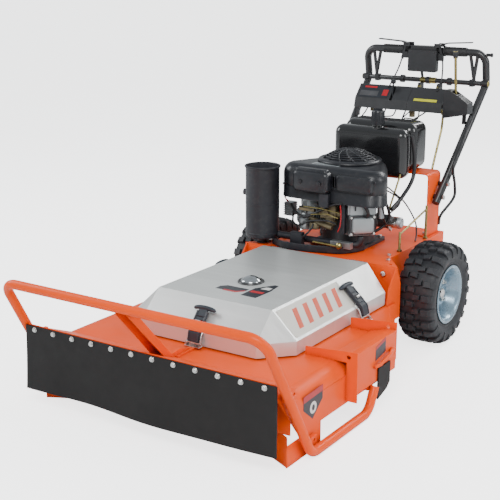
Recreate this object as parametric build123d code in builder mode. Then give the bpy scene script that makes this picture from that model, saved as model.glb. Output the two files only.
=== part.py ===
from build123d import *
import os
from math import cos, radians, sin, sqrt

os.makedirs("parts", exist_ok=True)

# Walk-behind brush mower. Millimetres, +Z up, the cutting deck in front at -Y, the handlebar behind at +Y.
# X = 0 is the centre plane and Z = 0 the ground. The origin is the middle of the machine's footprint.

# ---------------------------------------------------------------- driving dimensions
AXLE_Y = 373.4           # drive axle behind the origin
WHEEL_R = 203.0          # 16 inch tyre
TYRE_W = 150.0
WHEEL_X = 384.0          # half the track
RIM_R = 101.6            # 8 inch rim
SHEET = 5.0              # deck and chassis plate

DECK_HALF = 492.0
DECK_TOP = 222.0
SKIRT_Z = 81.0
LIP_Z = 290.0
BEND_R = 50.0            # bend between deck top and sides


def fore(distance):
    """Y of a place this far in front of the axle."""
    return AXLE_Y - distance


def aft(distance):
    """Y of a place this far behind the axle."""
    return AXLE_Y + distance


LIP_Y = fore(1345)
DECK_REAR = fore(272)
SPINDLE_Y = fore(730)
CRANK_Y = fore(10)
PULLEY_Z = 300.0         # belt plane, under the hood

HOOD_TOP = 365.0
HOOD_FOLD = 275.0
HOOD_BASE = 227.0
HOOD_REAR = fore(286)
HOOD_SHEET = 2.0
HINGE_Y = fore(277)
HINGE_Z = 357.0

PLATE_TOP = 355.0        # engine plate
PLATE_HALF = 258.0
PLATE_FRONT = fore(250)
PLATE_REAR = aft(365)

ARCH_HALF = 240.0
ARCH_TOP = 620.0
ARCH_FRONT = aft(227)
ARCH_DEPTH = 120.0

MUFFLER_X = -288.0
MUFFLER_Y = fore(210)
MUFFLER_R = 68.5

RAIL_R = 16.0
BAR_Y = aft(664)         # hand bar across the top of the handlebar
BAR_Z = 1081.0
CROSS_Y = aft(668)
CROSS_Z = 950.0
STRUT_R = 7.5

RUN = 0.05               # running clearance on a radius


# ---------------------------------------------------------------- helpers
def bent_path(points, radius):
    """Straight runs between the points, joined by tangent arcs of the given radius."""
    pts = [Vector(*p) for p in points]
    ends = []
    for before, corner, after in zip(pts, pts[1:], pts[2:]):
        u = (before - corner).normalized()
        v = (after - corner).normalized()
        half = radians(u.get_angle(v)) / 2
        reach = radius / (sin(half) / cos(half))
        middle = corner + (u + v).normalized() * (radius / sin(half) - radius)
        ends.append((corner + u * reach, middle, corner + v * reach))
    here = pts[0]
    with BuildLine() as path:
        for start, middle, stop in ends:
            Line(here, start)
            ThreePointArc(start, middle, stop)
            here = stop
        Line(here, pts[-1])
    return path.line


def tube(path, outer, inner=0.0):
    """Round bar, or tube when inner is given, swept along a path."""
    with BuildPart() as made:
        with BuildSketch(Plane(origin=path @ 0, z_dir=path % 0)):
            Circle(outer)
            if inner:
                Circle(inner, mode=Mode.SUBTRACT)
        sweep(path=path)
    return made.part


def smooth_path(points):
    """Spline through the points, for hoses and cables."""
    with BuildLine() as path:
        Spline(*points)
    return path.line


def rod(start, stop, radius):
    """Straight round bar between two points."""
    a = Vector(*start)
    b = Vector(*stop)
    with BuildPart() as made:
        with BuildSketch(Plane(origin=a, z_dir=b - a)):
            Circle(radius)
        extrude(amount=(b - a).length)
    return made.part


def plate(plane, points, thickness, both=False):
    """Flat plate with a polygon outline drawn on the plane."""
    with BuildPart() as made:
        with BuildSketch(plane):
            with BuildLine():
                Polyline(*points, close=True)
            make_face()
        extrude(amount=thickness, both=both)
    return made.part


def block(low, high):
    """Rectangular block between two corners."""
    size = [b - a for a, b in zip(low, high)]
    centre = tuple((a + b) / 2 for a, b in zip(low, high))
    with BuildPart() as made:
        with Locations(centre):
            Box(*size)
    return made.part


def disc(centre, radius, low, high, bore=0.0):
    """Upright disc or ring between two heights."""
    with BuildPart() as made:
        with BuildSketch(Plane.XY.offset(low)):
            with Locations(centre):
                Circle(radius)
                if bore:
                    Circle(bore, mode=Mode.SUBTRACT)
        extrude(amount=high - low)
    return made.part


def cap(centre, radius, low, high):
    """Spherical cap that stands on a circle of the given radius."""
    rise = high - low
    ball = (radius * radius + rise * rise) / (2 * rise)
    x, y = centre
    with BuildPart() as made:
        with Locations((x, y, high - ball)):
            Sphere(ball)
        add(block((x - ball, y - ball, low), (x + ball, y + ball, high + 1)), mode=Mode.INTERSECT)
    return made.part


def hex_head(origin, direction, across, height, stud_r=0.0, stud=0.0):
    """Bolt head standing on a face, with an optional stud into the hole behind it."""
    with BuildPart() as made:
        with BuildSketch(Plane(origin=origin, z_dir=direction)):
            RegularPolygon(across / 2, 6, major_radius=False)
        extrude(amount=height)
        chamfer(made.faces().sort_by(SortBy.AREA)[-1].edges(), height * 0.12)
        if stud:
            with BuildSketch(Plane(origin=origin, z_dir=direction)):
                Circle(stud_r)
            extrude(amount=-stud)
    return made.part


def publish(made, name):
    """Label the finished piece and write it."""
    made.part.label = name
    export_step(made.part, f"parts/{name}.step")


# ---------------------------------------------------------------- cutting deck
FLAP_BOLTS = 12
FLAP_PITCH = 83.2
FLAP_BOLT_Z = 277.0
FLAP_BOLT_R = 4.0
FLAP_T = 6.0
FLAP_HALF = 499.0
TOE_Y = fore(1278)
HEEL_Y = fore(1077)
TOE_H = 98.0
KINK_Y = fore(1180)      # where the flat top starts to rise to the lip
TAPER_Y = fore(598)      # behind this the deck narrows
TAIL_HALF = 350.0
TAIL_Y = fore(322)
CHUTE_FRONT = fore(915)
CHUTE_REAR = fore(602)


def deck_form(inset, low):
    """Deck block in side view, bent at its top edges and narrowed at the back."""
    rise = [(DECK_REAR - inset, DECK_TOP - inset), (KINK_Y, DECK_TOP - inset)]
    if inset:
        reach = 60.0
        slope = (LIP_Z - DECK_TOP) / (KINK_Y - LIP_Y)
        rise.append((LIP_Y - reach, LIP_Z - inset + reach * slope))
        foot = [(LIP_Y - reach, low), (DECK_REAR - inset, low)]
    else:
        rise.append((LIP_Y, LIP_Z))
        foot = [
            (LIP_Y, LIP_Z - 38), (fore(1222), TOE_H), (TOE_Y, TOE_H), (TOE_Y, 0),
            (HEEL_Y, 0), (HEEL_Y, low), (DECK_REAR, low),
        ]
    half = DECK_HALF - inset
    with BuildPart() as form:
        with BuildSketch(Plane.YZ):
            with BuildLine():
                Polyline(*rise, *foot, close=True)
            make_face()
        extrude(amount=half, both=True)
        tops = form.faces().filter_by(lambda f: f.normal_at().Z > 0.5)
        sides = [e for f in tops for e in f.edges() if abs(abs(e.center().X) - half) < 0.1]
        fillet(sides, BEND_R - inset)
        with BuildSketch(Plane.XY.offset(-20)):
            with BuildLine():
                Polyline(
                    (-half, LIP_Y - 80), (half, LIP_Y - 80), (half, TAPER_Y), (TAIL_HALF - inset, TAIL_Y),
                    (TAIL_HALF - inset, DECK_REAR - inset), (inset - TAIL_HALF, DECK_REAR - inset),
                    (inset - TAIL_HALF, TAIL_Y), (-half, TAPER_Y), close=True,
                )
            make_face()
        extrude(amount=400, mode=Mode.INTERSECT)
    return form.part


flap_bolt_x = [(i - (FLAP_BOLTS - 1) / 2) * FLAP_PITCH for i in range(FLAP_BOLTS)]

with BuildPart() as deck_shell:
    add(deck_form(0, SKIRT_Z))
    add(deck_form(SHEET, -30), mode=Mode.SUBTRACT)
    # lip that carries the front flap
    add(block((-DECK_HALF, LIP_Y, LIP_Z - 38), (DECK_HALF, LIP_Y + SHEET, LIP_Z)))
    # baffle welded between the side walls, behind the flap
    add(block((1 - DECK_HALF, fore(1263), TOE_H + 2), (DECK_HALF - 1, fore(1258), 236)))
    # toes folded inwards at the front of each skid
    for side in (-1, 1):
        add(plate(
            Plane.XY,
            [
                (side * DECK_HALF, TOE_Y), (side * (DECK_HALF - 7), TOE_Y + 9),
                (side * 388, TOE_Y + 57), (side * 386, TOE_Y + 51),
            ],
            TOE_H,
        ))
    # rib and bracket under the front latch
    add(block((-13, fore(1182), DECK_TOP - 1), (13, fore(1066), DECK_TOP + 6)))
    add(plate(
        Plane.YZ.offset(-3),
        [
            (fore(1222), DECK_TOP + 16), (fore(1182), DECK_TOP - 1), (fore(1100), DECK_TOP - 1),
            (fore(1100), DECK_TOP + 6), (fore(1150), DECK_TOP + 22),
        ],
        6,
    ))
    # spindle hole, discharge opening in the left side, holes for the flap bolts
    with Locations((0, SPINDLE_Y, DECK_TOP)):
        Hole(46, depth=20)
    add(block((430, CHUTE_FRONT + 12, 105), (500, CHUTE_REAR - 12, DECK_TOP - BEND_R)), mode=Mode.SUBTRACT)
    for x in flap_bolt_x:
        start = (x, LIP_Y - 1, FLAP_BOLT_Z)
        add(rod(start, (x, LIP_Y + SHEET + 1, FLAP_BOLT_Z), FLAP_BOLT_R + 0.2), mode=Mode.SUBTRACT)
publish(deck_shell, "deck_shell")

with BuildPart() as front_flap:
    add(block((-FLAP_HALF, LIP_Y - FLAP_T, 62), (FLAP_HALF, LIP_Y - 0.05, LIP_Z - 2)))
    for x in flap_bolt_x:
        start = (x, LIP_Y - 8, FLAP_BOLT_Z)
        add(rod(start, (x, LIP_Y + 1, FLAP_BOLT_Z), FLAP_BOLT_R + 0.2), mode=Mode.SUBTRACT)
publish(front_flap, "front_flap")

with BuildPart() as flap_bolts:
    for x in flap_bolt_x:
        face = LIP_Y - FLAP_T - 0.05
        with BuildSketch(Plane(origin=(x, face, FLAP_BOLT_Z), z_dir=(0, -1, 0))):
            Circle(8.5)
        extrude(amount=1.5)
        add(hex_head((x, face - 1.5, FLAP_BOLT_Z), (0, -1, 0), 13, 4))
        add(rod((x, face, FLAP_BOLT_Z), (x, LIP_Y + SHEET + 0.5, FLAP_BOLT_Z), FLAP_BOLT_R))
publish(flap_bolts, "flap_bolts")

# Hoops either side of the discharge chute: flat bar across the deck, turned down at the outer end.
HOOP_T = 5.0
HOOP_EYE_R = 7.0
HOOP_FRONT_X = 532.0
HOOP_REAR_X = 516.0
HOOP_EYE_DROP = 20.0


def hoop(y, outer, top, bottom):
    """One hoop plate with its eye near the outer corner."""
    base = DECK_TOP + 0.1
    leg = DECK_HALF + 0.2
    with BuildPart() as made:
        with BuildSketch(Plane.XZ.offset(-y)):
            with BuildLine():
                Polyline(
                    (338, base), (leg, base), (leg, bottom), (outer, bottom), (outer, top),
                    (338, top - 14), close=True,
                )
            make_face()
            with Locations((outer - 32, top - HOOP_EYE_DROP)):
                Circle(HOOP_EYE_R, mode=Mode.SUBTRACT)
        extrude(amount=HOOP_T / 2, both=True)
    return made.part


FRONT_HOOP_TOP = 262.0
REAR_HOOP_TOP = 272.0
with BuildPart() as chute_hoops:
    add(hoop(CHUTE_FRONT, HOOP_FRONT_X, FRONT_HOOP_TOP, 90))
    add(hoop(CHUTE_REAR, HOOP_REAR_X, REAR_HOOP_TOP, 138))
publish(chute_hoops, "chute_hoops")

# Chute: a roof that leaves the deck beside the hood and bends down into an outer wall.
CHUTE_T = 4.0
CHUTE_WALL_X = 514.0
CHUTE_WALL_Z = 104.0
with BuildPart() as discharge_chute:
    with BuildSketch(Plane.XZ.offset(-(CHUTE_REAR - HOOP_T / 2 - 0.1))):
        with BuildLine():
            Polyline((420, DECK_TOP + 2.5), (492, 244), (CHUTE_WALL_X, 244), (CHUTE_WALL_X, CHUTE_WALL_Z))
            offset(amount=CHUTE_T / 2)
        make_face()
    extrude(amount=CHUTE_REAR - CHUTE_FRONT - HOOP_T - 0.2)
    # stays clear of the hoops' legs, which stand inside the wall at both ends
    with Locations(
        (CHUTE_WALL_X, (CHUTE_FRONT + CHUTE_REAR) / 2, CHUTE_WALL_Z),
    ):
        Box(30, 400, 6, mode=Mode.SUBTRACT)
    # rolled rail under the rear half of the wall
    rail_path = bent_path(
        [
            (CHUTE_WALL_X + 5, fore(770), 164), (CHUTE_WALL_X + 14, fore(745), 167),
            (CHUTE_WALL_X + 14, fore(668), 184), (CHUTE_WALL_X + 5, fore(640), 190),
        ],
        30,
    )
    add(tube(rail_path, 6))
publish(discharge_chute, "discharge_chute")

with BuildPart() as chute_flap:
    add(plate(
        Plane.YZ.offset(CHUTE_WALL_X + 2.1),
        [(fore(742), 152), (fore(655), 152), (fore(655), 78), (fore(676), 60), (fore(742), 40)],
        FLAP_T,
    ))
publish(chute_flap, "chute_flap")

# Guard tube: across the front, down both sides to the ground, back as skid runners, and up at the rear.
GUARD_R = 16.0
GUARD_TOP_X = 509.0
GUARD_LOW_X = 519.0
GUARD_Y = fore(1431)
GUARD_Z = 456.0
RUNNER_FRONT = fore(1182)
RUNNER_REAR = fore(806)
RUNNER_TIP = fore(765)


def lug(side, y0, y1, z0, z1):
    """Flat lug between the guard tube and the deck side."""
    reach = sorted((side * (DECK_HALF + 0.6), side * (GUARD_LOW_X - GUARD_R + 3)))
    return block((reach[0], y0, z0), (reach[1], y1, z1))


with BuildPart() as guard_bar:
    half = [
        (RUNNER_TIP, 95), (RUNNER_REAR, GUARD_R), (RUNNER_FRONT, GUARD_R), (GUARD_Y, GUARD_Z),
    ]
    left = [(GUARD_LOW_X, y, z) for y, z in half[:3]] + [(GUARD_TOP_X, GUARD_Y, GUARD_Z)]
    right = [(-x, y, z) for x, y, z in reversed(left)]
    add(tube(bent_path(left + right, 58), GUARD_R, GUARD_R - 3))
    for side in (-1, 1):
        add(lug(side, fore(1312), fore(1252), 226, 252))
        add(lug(side, fore(1168), fore(1126), 22, 58))
        add(lug(side, fore(788), fore(752), 84, 100))
    for side in (-1, 1):
        for y, z in ((fore(1264), 239), (fore(1140), 44)):
            add(rod((side * 485, y, z), (side * 520, y, z), 5.2), mode=Mode.SUBTRACT)


# Channel brace from the middle of the guard down to the sloping front of the deck.
BRACE_TOP = (fore(1429), 447.0)
BRACE_FOOT = (fore(1252), 256.0)
with BuildPart() as guard_brace:
    run_y = BRACE_FOOT[0] - BRACE_TOP[0]
    run_z = BRACE_FOOT[1] - BRACE_TOP[1]
    length = sqrt(run_y * run_y + run_z * run_z)
    down = Plane(origin=(0, BRACE_TOP[0], BRACE_TOP[1]), x_dir=(1, 0, 0), z_dir=(0, run_y, run_z))
    with BuildSketch(down):
        Rectangle(56, 26)
        with Locations((0, 5)):
            Rectangle(48, 26, mode=Mode.SUBTRACT)
    extrude(amount=length + 30)
    slope = (LIP_Z - DECK_TOP) / (KINK_Y - LIP_Y)
    under = [
        (LIP_Y - 60, LIP_Z + 60 * slope + 0.3), (KINK_Y + 60, DECK_TOP - 60 * slope + 0.3),
        (KINK_Y + 60, 100), (LIP_Y - 60, 100),
    ]
    add(plate(Plane.YZ, under, 60, both=True), mode=Mode.SUBTRACT)
    add(rod((-60, GUARD_Y, GUARD_Z), (60, GUARD_Y, GUARD_Z), GUARD_R - 1), mode=Mode.SUBTRACT)

with BuildPart() as guard:
    add(guard_bar.part)
    add(guard_brace.part)
publish(guard, "guard_bar")

# ---------------------------------------------------------------- hood and its latches
HOOD_HALF = 234.0
HOOD_WIDE = 330.0
LATCH_SIDE_Y = fore(520)
KNUCKLES = (-180.0, 180.0)
KNUCKLE_R = 6.0
PIN_R = 3.0
BELT_WINDOW = 105.0      # half width of the openings the belt runs through
hood_plan = [(237, fore(1060)), (HOOD_WIDE, fore(960)), (HOOD_WIDE, fore(322)), (300, HOOD_REAR)]
hood_points = [(HOOD_HALF, fore(960), HOOD_TOP), (HOOD_HALF, HOOD_REAR, HOOD_TOP)]
hood_points += [(x, y, z) for x, y in hood_plan for z in (HOOD_FOLD, HOOD_BASE)]
hood_points += [(-x, y, z) for x, y, z in hood_points]

with BuildPart() as hood:
    ConvexPolyhedron(hood_points)
    offset(amount=-HOOD_SHEET, openings=hood.faces().sort_by(Axis.Z)[0])
    # slot in the back wall for the belt, open at the bottom
    slot_low = (-BELT_WINDOW, HOOD_REAR - 6, HOOD_BASE - 1)
    add(block(slot_low, (BELT_WINDOW, HOOD_REAR + 6, PULLEY_Z + 30)), mode=Mode.SUBTRACT)
    # hinge leaves and knuckles on the back wall
    for x in KNUCKLES:
        add(block((x - 18, HOOD_REAR - 1, HINGE_Z - 22), (x + 18, HOOD_REAR + 3, HINGE_Z + 4)))
        add(block((x - 18, HOOD_REAR, HINGE_Z - 4), (x + 18, HINGE_Y, HINGE_Z)))
        add(rod((x - 18, HINGE_Y, HINGE_Z), (x + 18, HINGE_Y, HINGE_Z), KNUCKLE_R))
        add(rod((x - 19, HINGE_Y, HINGE_Z), (x + 19, HINGE_Y, HINGE_Z), PIN_R + RUN), mode=Mode.SUBTRACT)
publish(hood, "hood")

with BuildPart() as hood_hinges:
    for x in KNUCKLES:
        for edge in (x - 34, x + 18.2):
            add(rod((edge, HINGE_Y, HINGE_Z), (edge + 15.8, HINGE_Y, HINGE_Z), KNUCKLE_R))
            add(block((edge, HINGE_Y, HINGE_Z - 4), (edge + 15.8, PLATE_FRONT - 3, HINGE_Z)))
        add(block((x - 34, PLATE_FRONT - 4, HINGE_Z - 40), (x + 34, PLATE_FRONT - 0.1, HINGE_Z)))
        add(rod((x - 36, HINGE_Y, HINGE_Z), (x + 36, HINGE_Y, HINGE_Z), PIN_R))
publish(hood_hinges, "hood_hinges")

# Domed cover over the spindle nut, on the hood's top.
with BuildPart() as hood_dome:
    add(disc((0, SPINDLE_Y), 47, HOOD_TOP + 0.05, HOOD_TOP + 6))
    fillet(hood_dome.edges().group_by(Axis.Z)[-1], 2)
    add(cap((0, SPINDLE_Y), 38, HOOD_TOP + 5, HOOD_TOP + 22))
publish(hood_dome, "hood_dome")

# Rubber T latches. Drawn for a strap that runs down towards -Y, then turned to each side of the hood.
STRAP_W = 44.0
EAR_X = 27.0             # clevis ears either side of the strap
STRAP_T = 8.0
T_HALF = 45.0
LATCH_PIN_R = 4.0


def latch(handle, bend, foot):
    """T handle, strap and lower pin. The points are (outward, up) places of the strap's centre line."""
    with BuildPart() as made:
        with BuildSketch(Plane.YZ):
            with BuildLine():
                Polyline(*[(-out, up) for out, up in (handle, bend, foot)])
                offset(amount=STRAP_T / 2)
            make_face()
        extrude(amount=STRAP_W / 2, both=True)
        add(rod((-T_HALF, -handle[0], handle[1]), (T_HALF, -handle[0], handle[1]), STRAP_T))
        add(rod((-EAR_X - 4, -foot[0], foot[1]), (EAR_X + 4, -foot[0], foot[1]), LATCH_PIN_R))
        fillet(made.faces().filter_by(Axis.X).group_by(Axis.X)[0].edges(), 2.5)
        fillet(made.faces().filter_by(Axis.X).group_by(Axis.X)[-1].edges(), 2.5)
    return made.part


FRONT_LATCH = [(1012.0, 345.0), (1071.0, 279.0), (1076.0, 240.5)]
SIDE_LATCH = [(272.0, 346.0), (343.0, 282.0), (352.0, 240.5)]
front_points = [(-fore(out), up) for out, up in FRONT_LATCH]
latch_front_part = latch(*front_points)
latch_side_part = latch(*SIDE_LATCH)
with BuildPart() as latch_front:
    add(latch_front_part)
publish(latch_front, "latch_front")
with BuildPart() as latch_left:
    add(latch_side_part.rotate(Axis.Z, 90).moved(Location((0, LATCH_SIDE_Y, 0))))
publish(latch_left, "latch_left")
with BuildPart() as latch_right:
    add(latch_side_part.rotate(Axis.Z, -90).moved(Location((0, LATCH_SIDE_Y, 0))))
publish(latch_right, "latch_right")


def clevis(base_z):
    """Ears with open tops under a latch pin, drawn with the pin over the origin."""
    top = SIDE_LATCH[-1][1] - LATCH_PIN_R - 0.3
    with BuildPart() as made:
        add(block((-EAR_X - 4, -14, base_z), (EAR_X + 4, 7, base_z + 3)))
        for side in (-1, 1):
            add(block((side * EAR_X - 2, -9, base_z), (side * EAR_X + 2, 7, top)))
    return made.part


with BuildPart() as latch_clevises:
    add(clevis(DECK_TOP + 6.1).moved(Location((0, fore(FRONT_LATCH[-1][0]), 0))))
    for side in (-1, 1):
        turned = clevis(DECK_TOP + 0.1).rotate(Axis.Z, side * 90)
        add(turned.moved(Location((side * SIDE_LATCH[-1][0], LATCH_SIDE_Y, 0))))
publish(latch_clevises, "latch_clevises")

# ---------------------------------------------------------------- blade, spindle and belt drive
BLADE_R = 440.0
BLADE_Z = 90.0
BLADE_T = 8.0
SHAFT_R = 15.0
BEARING_R = 31.0
HOUSING_R = 40.0
SPINDLE_PULLEY_R = 70.0
ENGINE_PULLEY_R = 55.0
PULLEY_H = 18.0
BELT_W = 13.0
BELT_T = 9.0
BELT_H = 9.8
BELT_SEAT = 3.9          # the belt's inner face lies this far inside a pulley's pitch radius

with BuildPart() as blade:
    # flat bar with lifted tail edges and ground cutting edges
    with BuildSketch(Plane.XY.offset(BLADE_Z)):
        with Locations((0, SPINDLE_Y)):
            Rectangle(2 * BLADE_R, 70)
    extrude(amount=BLADE_T)
    for side in (-1, 1):
        tail = [
            (SPINDLE_Y + side * 14, BLADE_Z + BLADE_T - 3), (SPINDLE_Y + side * 35, BLADE_Z + BLADE_T - 3),
            (SPINDLE_Y + side * 50, BLADE_Z + 26), (SPINDLE_Y + side * 46, BLADE_Z + 30),
            (SPINDLE_Y + side * 30, BLADE_Z + BLADE_T),
        ]
        add(plate(Plane.YZ.offset(min(side * 300, side * 425)), tail, 125))
        edge = [
            (SPINDLE_Y - side * 36, BLADE_Z - 1), (SPINDLE_Y - side * 36, BLADE_Z + BLADE_T + 1),
            (SPINDLE_Y - side * 16, BLADE_Z + BLADE_T + 1), (SPINDLE_Y - side * 35, BLADE_Z + 1),
        ]
        add(plate(Plane.YZ.offset(min(side * 300, side * 441)), edge, 141), mode=Mode.SUBTRACT)
    with Locations((0, SPINDLE_Y, BLADE_Z + BLADE_T)):
        Hole(12, depth=20)
publish(blade, "blade")

CARRIER_TOP = BLADE_Z + BLADE_T + 14
with BuildPart() as blade_carrier:
    add(disc((0, SPINDLE_Y), 130, BLADE_Z + BLADE_T, BLADE_Z + BLADE_T + 6))
    add(disc((0, SPINDLE_Y), 28, BLADE_Z + BLADE_T + 5, CARRIER_TOP))
    # centre bolt up through the blade
    add(disc((0, SPINDLE_Y), 11.9, BLADE_Z - 3, BLADE_Z + BLADE_T + 1))
    add(disc((0, SPINDLE_Y), 30, BLADE_Z - 5, BLADE_Z))
    add(hex_head((0, SPINDLE_Y, BLADE_Z - 4), (0, 0, -1), 32, 13))
publish(blade_carrier, "blade_carrier")

SHAFT_TOP = PULLEY_Z + PULLEY_H / 2 + 22
with BuildPart() as spindle_shaft:
    add(disc((0, SPINDLE_Y), SHAFT_R, CARRIER_TOP, SHAFT_TOP))
    chamfer(spindle_shaft.edges().group_by(Axis.Z)[-1], 2)
    with Locations((0, SPINDLE_Y, PULLEY_Z + PULLEY_H / 2 + 10)):
        add(hex_head((0, 0, 0), (0, 0, 1), 36, 10))
publish(spindle_shaft, "spindle_shaft")

HOUSING_LOW = 136.0
HOUSING_HIGH = 284.0
BEARING_H = 16.0
with BuildPart() as spindle_housing:
    add(disc((0, SPINDLE_Y), HOUSING_R, HOUSING_LOW, HOUSING_HIGH))
    add(disc((0, SPINDLE_Y), 80, DECK_TOP + 0.1, DECK_TOP + 10))
    fillet(spindle_housing.edges().filter_by(GeomType.CIRCLE).group_by(Axis.Z)[-2], 1)
    add(disc((0, SPINDLE_Y), 22, HOUSING_LOW - 1, HOUSING_HIGH + 1), mode=Mode.SUBTRACT)
    for low in (HOUSING_LOW - 1, HOUSING_HIGH - BEARING_H):
        add(disc((0, SPINDLE_Y), BEARING_R + RUN, low, low + BEARING_H + 1), mode=Mode.SUBTRACT)
publish(spindle_housing, "spindle_housing")

with BuildPart() as spindle_bearings:
    for low in (HOUSING_LOW, HOUSING_HIGH - BEARING_H + 0.1):
        add(disc((0, SPINDLE_Y), BEARING_R, low, low + BEARING_H - 0.2, SHAFT_R + RUN))
publish(spindle_bearings, "spindle_bearings")


def pulley(centre, radius, bore):
    """V-belt pulley with its groove in the belt plane."""
    x, y = centre
    low = -PULLEY_H / 2
    with BuildPart() as made:
        with BuildSketch(Plane.XZ):
            with BuildLine():
                Polyline(
                    (bore, low), (radius + 6, low), (radius + 6, low + 2), (radius - 4, -BELT_W / 2 + 1.5),
                    (radius - 4, BELT_W / 2 - 1.5), (radius + 6, -low - 2), (radius + 6, -low), (bore, -low),
                    close=True,
                )
            make_face()
        revolve(axis=Axis.Z)
        with PolarLocations(radius * 0.58, 5):
            Cylinder(radius * 0.17, 2 * PULLEY_H, mode=Mode.SUBTRACT)
    return made.part.moved(Location((x, y, PULLEY_Z)))


with BuildPart() as spindle_pulley:
    add(pulley((0, SPINDLE_Y), SPINDLE_PULLEY_R, SHAFT_R))
publish(spindle_pulley, "spindle_pulley")

with BuildPart() as engine_pulley:
    add(pulley((0, CRANK_Y), ENGINE_PULLEY_R, 14))
publish(engine_pulley, "engine_pulley")

# Belt: the outer tangents of the two pulleys.
centres = CRANK_Y - SPINDLE_Y
lean = (SPINDLE_PULLEY_R - ENGINE_PULLEY_R) / centres
tangent = sqrt(1 - lean * lean)


def belt_outline(grow):
    """Stadium around both pulleys at a distance beyond their belt seats."""
    with BuildSketch() as outline:
        corners = []
        for side in (-1, 1):
            pair = [(SPINDLE_Y, SPINDLE_PULLEY_R + grow), (CRANK_Y, ENGINE_PULLEY_R + grow)]
            corners.append([(side * r * tangent, y + r * lean) for y, r in pair])
        with BuildLine():
            Polyline(*corners[0], *reversed(corners[1]), close=True)
        make_face()
        with Locations((0, SPINDLE_Y)):
            Circle(SPINDLE_PULLEY_R + grow)
        with Locations((0, CRANK_Y)):
            Circle(ENGINE_PULLEY_R + grow)
    return outline.sketch


with BuildPart() as drive_belt:
    with BuildSketch(Plane.XY.offset(PULLEY_Z - BELT_H / 2)):
        add(belt_outline(BELT_T - BELT_SEAT))
        add(belt_outline(-BELT_SEAT), mode=Mode.SUBTRACT)
    extrude(amount=BELT_H)
publish(drive_belt, "drive_belt")

# Idler: flat pulley that presses the slack run of the belt inwards from outside, on a swinging arm.
IDLER_R = 26.0
IDLER_Y = fore(500)
run_x = SPINDLE_PULLEY_R - (IDLER_Y - SPINDLE_Y) * lean
IDLER_X = -(run_x + BELT_T - BELT_SEAT + IDLER_R + 1.2) / tangent
ARM_PIVOT = (-215.0, IDLER_Y + 60)
ARM_Z = PULLEY_Z - 20
with BuildPart() as idler_arm:
    with BuildSketch(Plane.XY.offset(ARM_Z)):
        with BuildLine():
            Polyline(ARM_PIVOT, (IDLER_X, IDLER_Y))
            offset(amount=16)
        make_face()
        with Locations(ARM_PIVOT):
            Circle(8 + RUN, mode=Mode.SUBTRACT)
    extrude(amount=6)
    add(disc((IDLER_X, IDLER_Y), 8, ARM_Z + 5, PULLEY_Z + 14))
    add(disc((IDLER_X, IDLER_Y), 12, ARM_Z + 5, PULLEY_Z - 9))
publish(idler_arm, "idler_arm")

with BuildPart() as idler_pulley:
    add(disc((IDLER_X, IDLER_Y), IDLER_R, PULLEY_Z - 8.5, PULLEY_Z + 9, 8 + RUN))
    for low in (PULLEY_Z - 8.5, PULLEY_Z + 7):
        add(disc((IDLER_X, IDLER_Y), IDLER_R + 3, low, low + 2, 8 + RUN))
publish(idler_pulley, "idler_pulley")

with BuildPart() as idler_pivot:
    add(disc(ARM_PIVOT, 22, DECK_TOP + 0.1, DECK_TOP + 8))
    add(disc(ARM_PIVOT, 15, DECK_TOP + 7, ARM_Z - 0.5))
    add(disc(ARM_PIVOT, 8, ARM_Z - 1, ARM_Z + 8))
    add(disc(ARM_PIVOT, 14, ARM_Z + 6.4, ARM_Z + 10))
publish(idler_pivot, "idler_pivot")

# ---------------------------------------------------------------- chassis
WING_HALF = 344.0
AXLE_R = 12.7
SIDE_LOW = 150.0
FRAME_HOLE_X = 300.0
FRAME_HOLE_Y = fore(224)
FRAME_HOLE_R = 7.0
with BuildPart() as chassis:
    with BuildSketch(Plane.XY.offset(PLATE_TOP - SHEET)):
        with BuildLine():
            Polyline(
                (WING_HALF, PLATE_FRONT), (PLATE_HALF, fore(140)), (PLATE_HALF, PLATE_REAR),
                (-PLATE_HALF, PLATE_REAR), (-PLATE_HALF, fore(140)), (-WING_HALF, PLATE_FRONT), close=True,
            )
        make_face()
        with Locations((0, CRANK_Y)):
            Circle(34, mode=Mode.SUBTRACT)
        with Locations((-FRAME_HOLE_X, FRAME_HOLE_Y), (FRAME_HOLE_X, FRAME_HOLE_Y)):
            Circle(FRAME_HOLE_R, mode=Mode.SUBTRACT)
        with Locations((-153, fore(77))):
            Rectangle(16, 16, mode=Mode.SUBTRACT)
    extrude(amount=SHEET)
    # front and rear walls, the front one open for the belt
    add(block((-335, PLATE_FRONT, 200), (335, PLATE_FRONT + SHEET, PLATE_TOP - 1)))
    slot_low = (-BELT_WINDOW, PLATE_FRONT - 5, PULLEY_Z - 35)
    add(block(slot_low, (BELT_WINDOW, PLATE_FRONT + 10, PULLEY_Z + 35)), mode=Mode.SUBTRACT)
    add(block((-PLATE_HALF, PLATE_REAR - SHEET, 215), (PLATE_HALF, PLATE_REAR, PLATE_TOP - 1)))
    wing = [
        (PLATE_FRONT, PLATE_TOP - 1), (fore(312), 282), (fore(326), DECK_TOP + 0.1),
        (DECK_REAR + 0.2, DECK_TOP + 0.1), (DECK_REAR + 0.2, SIDE_LOW), (fore(214), SIDE_LOW),
        (fore(214), 285), (fore(244), PLATE_TOP - 1),
    ]
    wall = [
        (fore(244), PLATE_TOP - 1), (PLATE_REAR, PLATE_TOP - 1), (PLATE_REAR, 215), (aft(70), 130),
        (fore(70), 130), (fore(244), 200),
    ]
    for side in (-1, 1):
        add(plate(Plane.YZ.offset(side * (WING_HALF - 6.5)), wing, 2.5, both=True))
        add(plate(Plane.YZ.offset(side * (PLATE_HALF - 2.5)), wall, 2.5, both=True))
        with BuildSketch(Plane.YZ.offset(side * PLATE_HALF)):
            with Locations((AXLE_Y, WHEEL_R)):
                Circle(24)
        extrude(amount=12, both=True, mode=Mode.SUBTRACT)
publish(chassis, "chassis")

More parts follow.
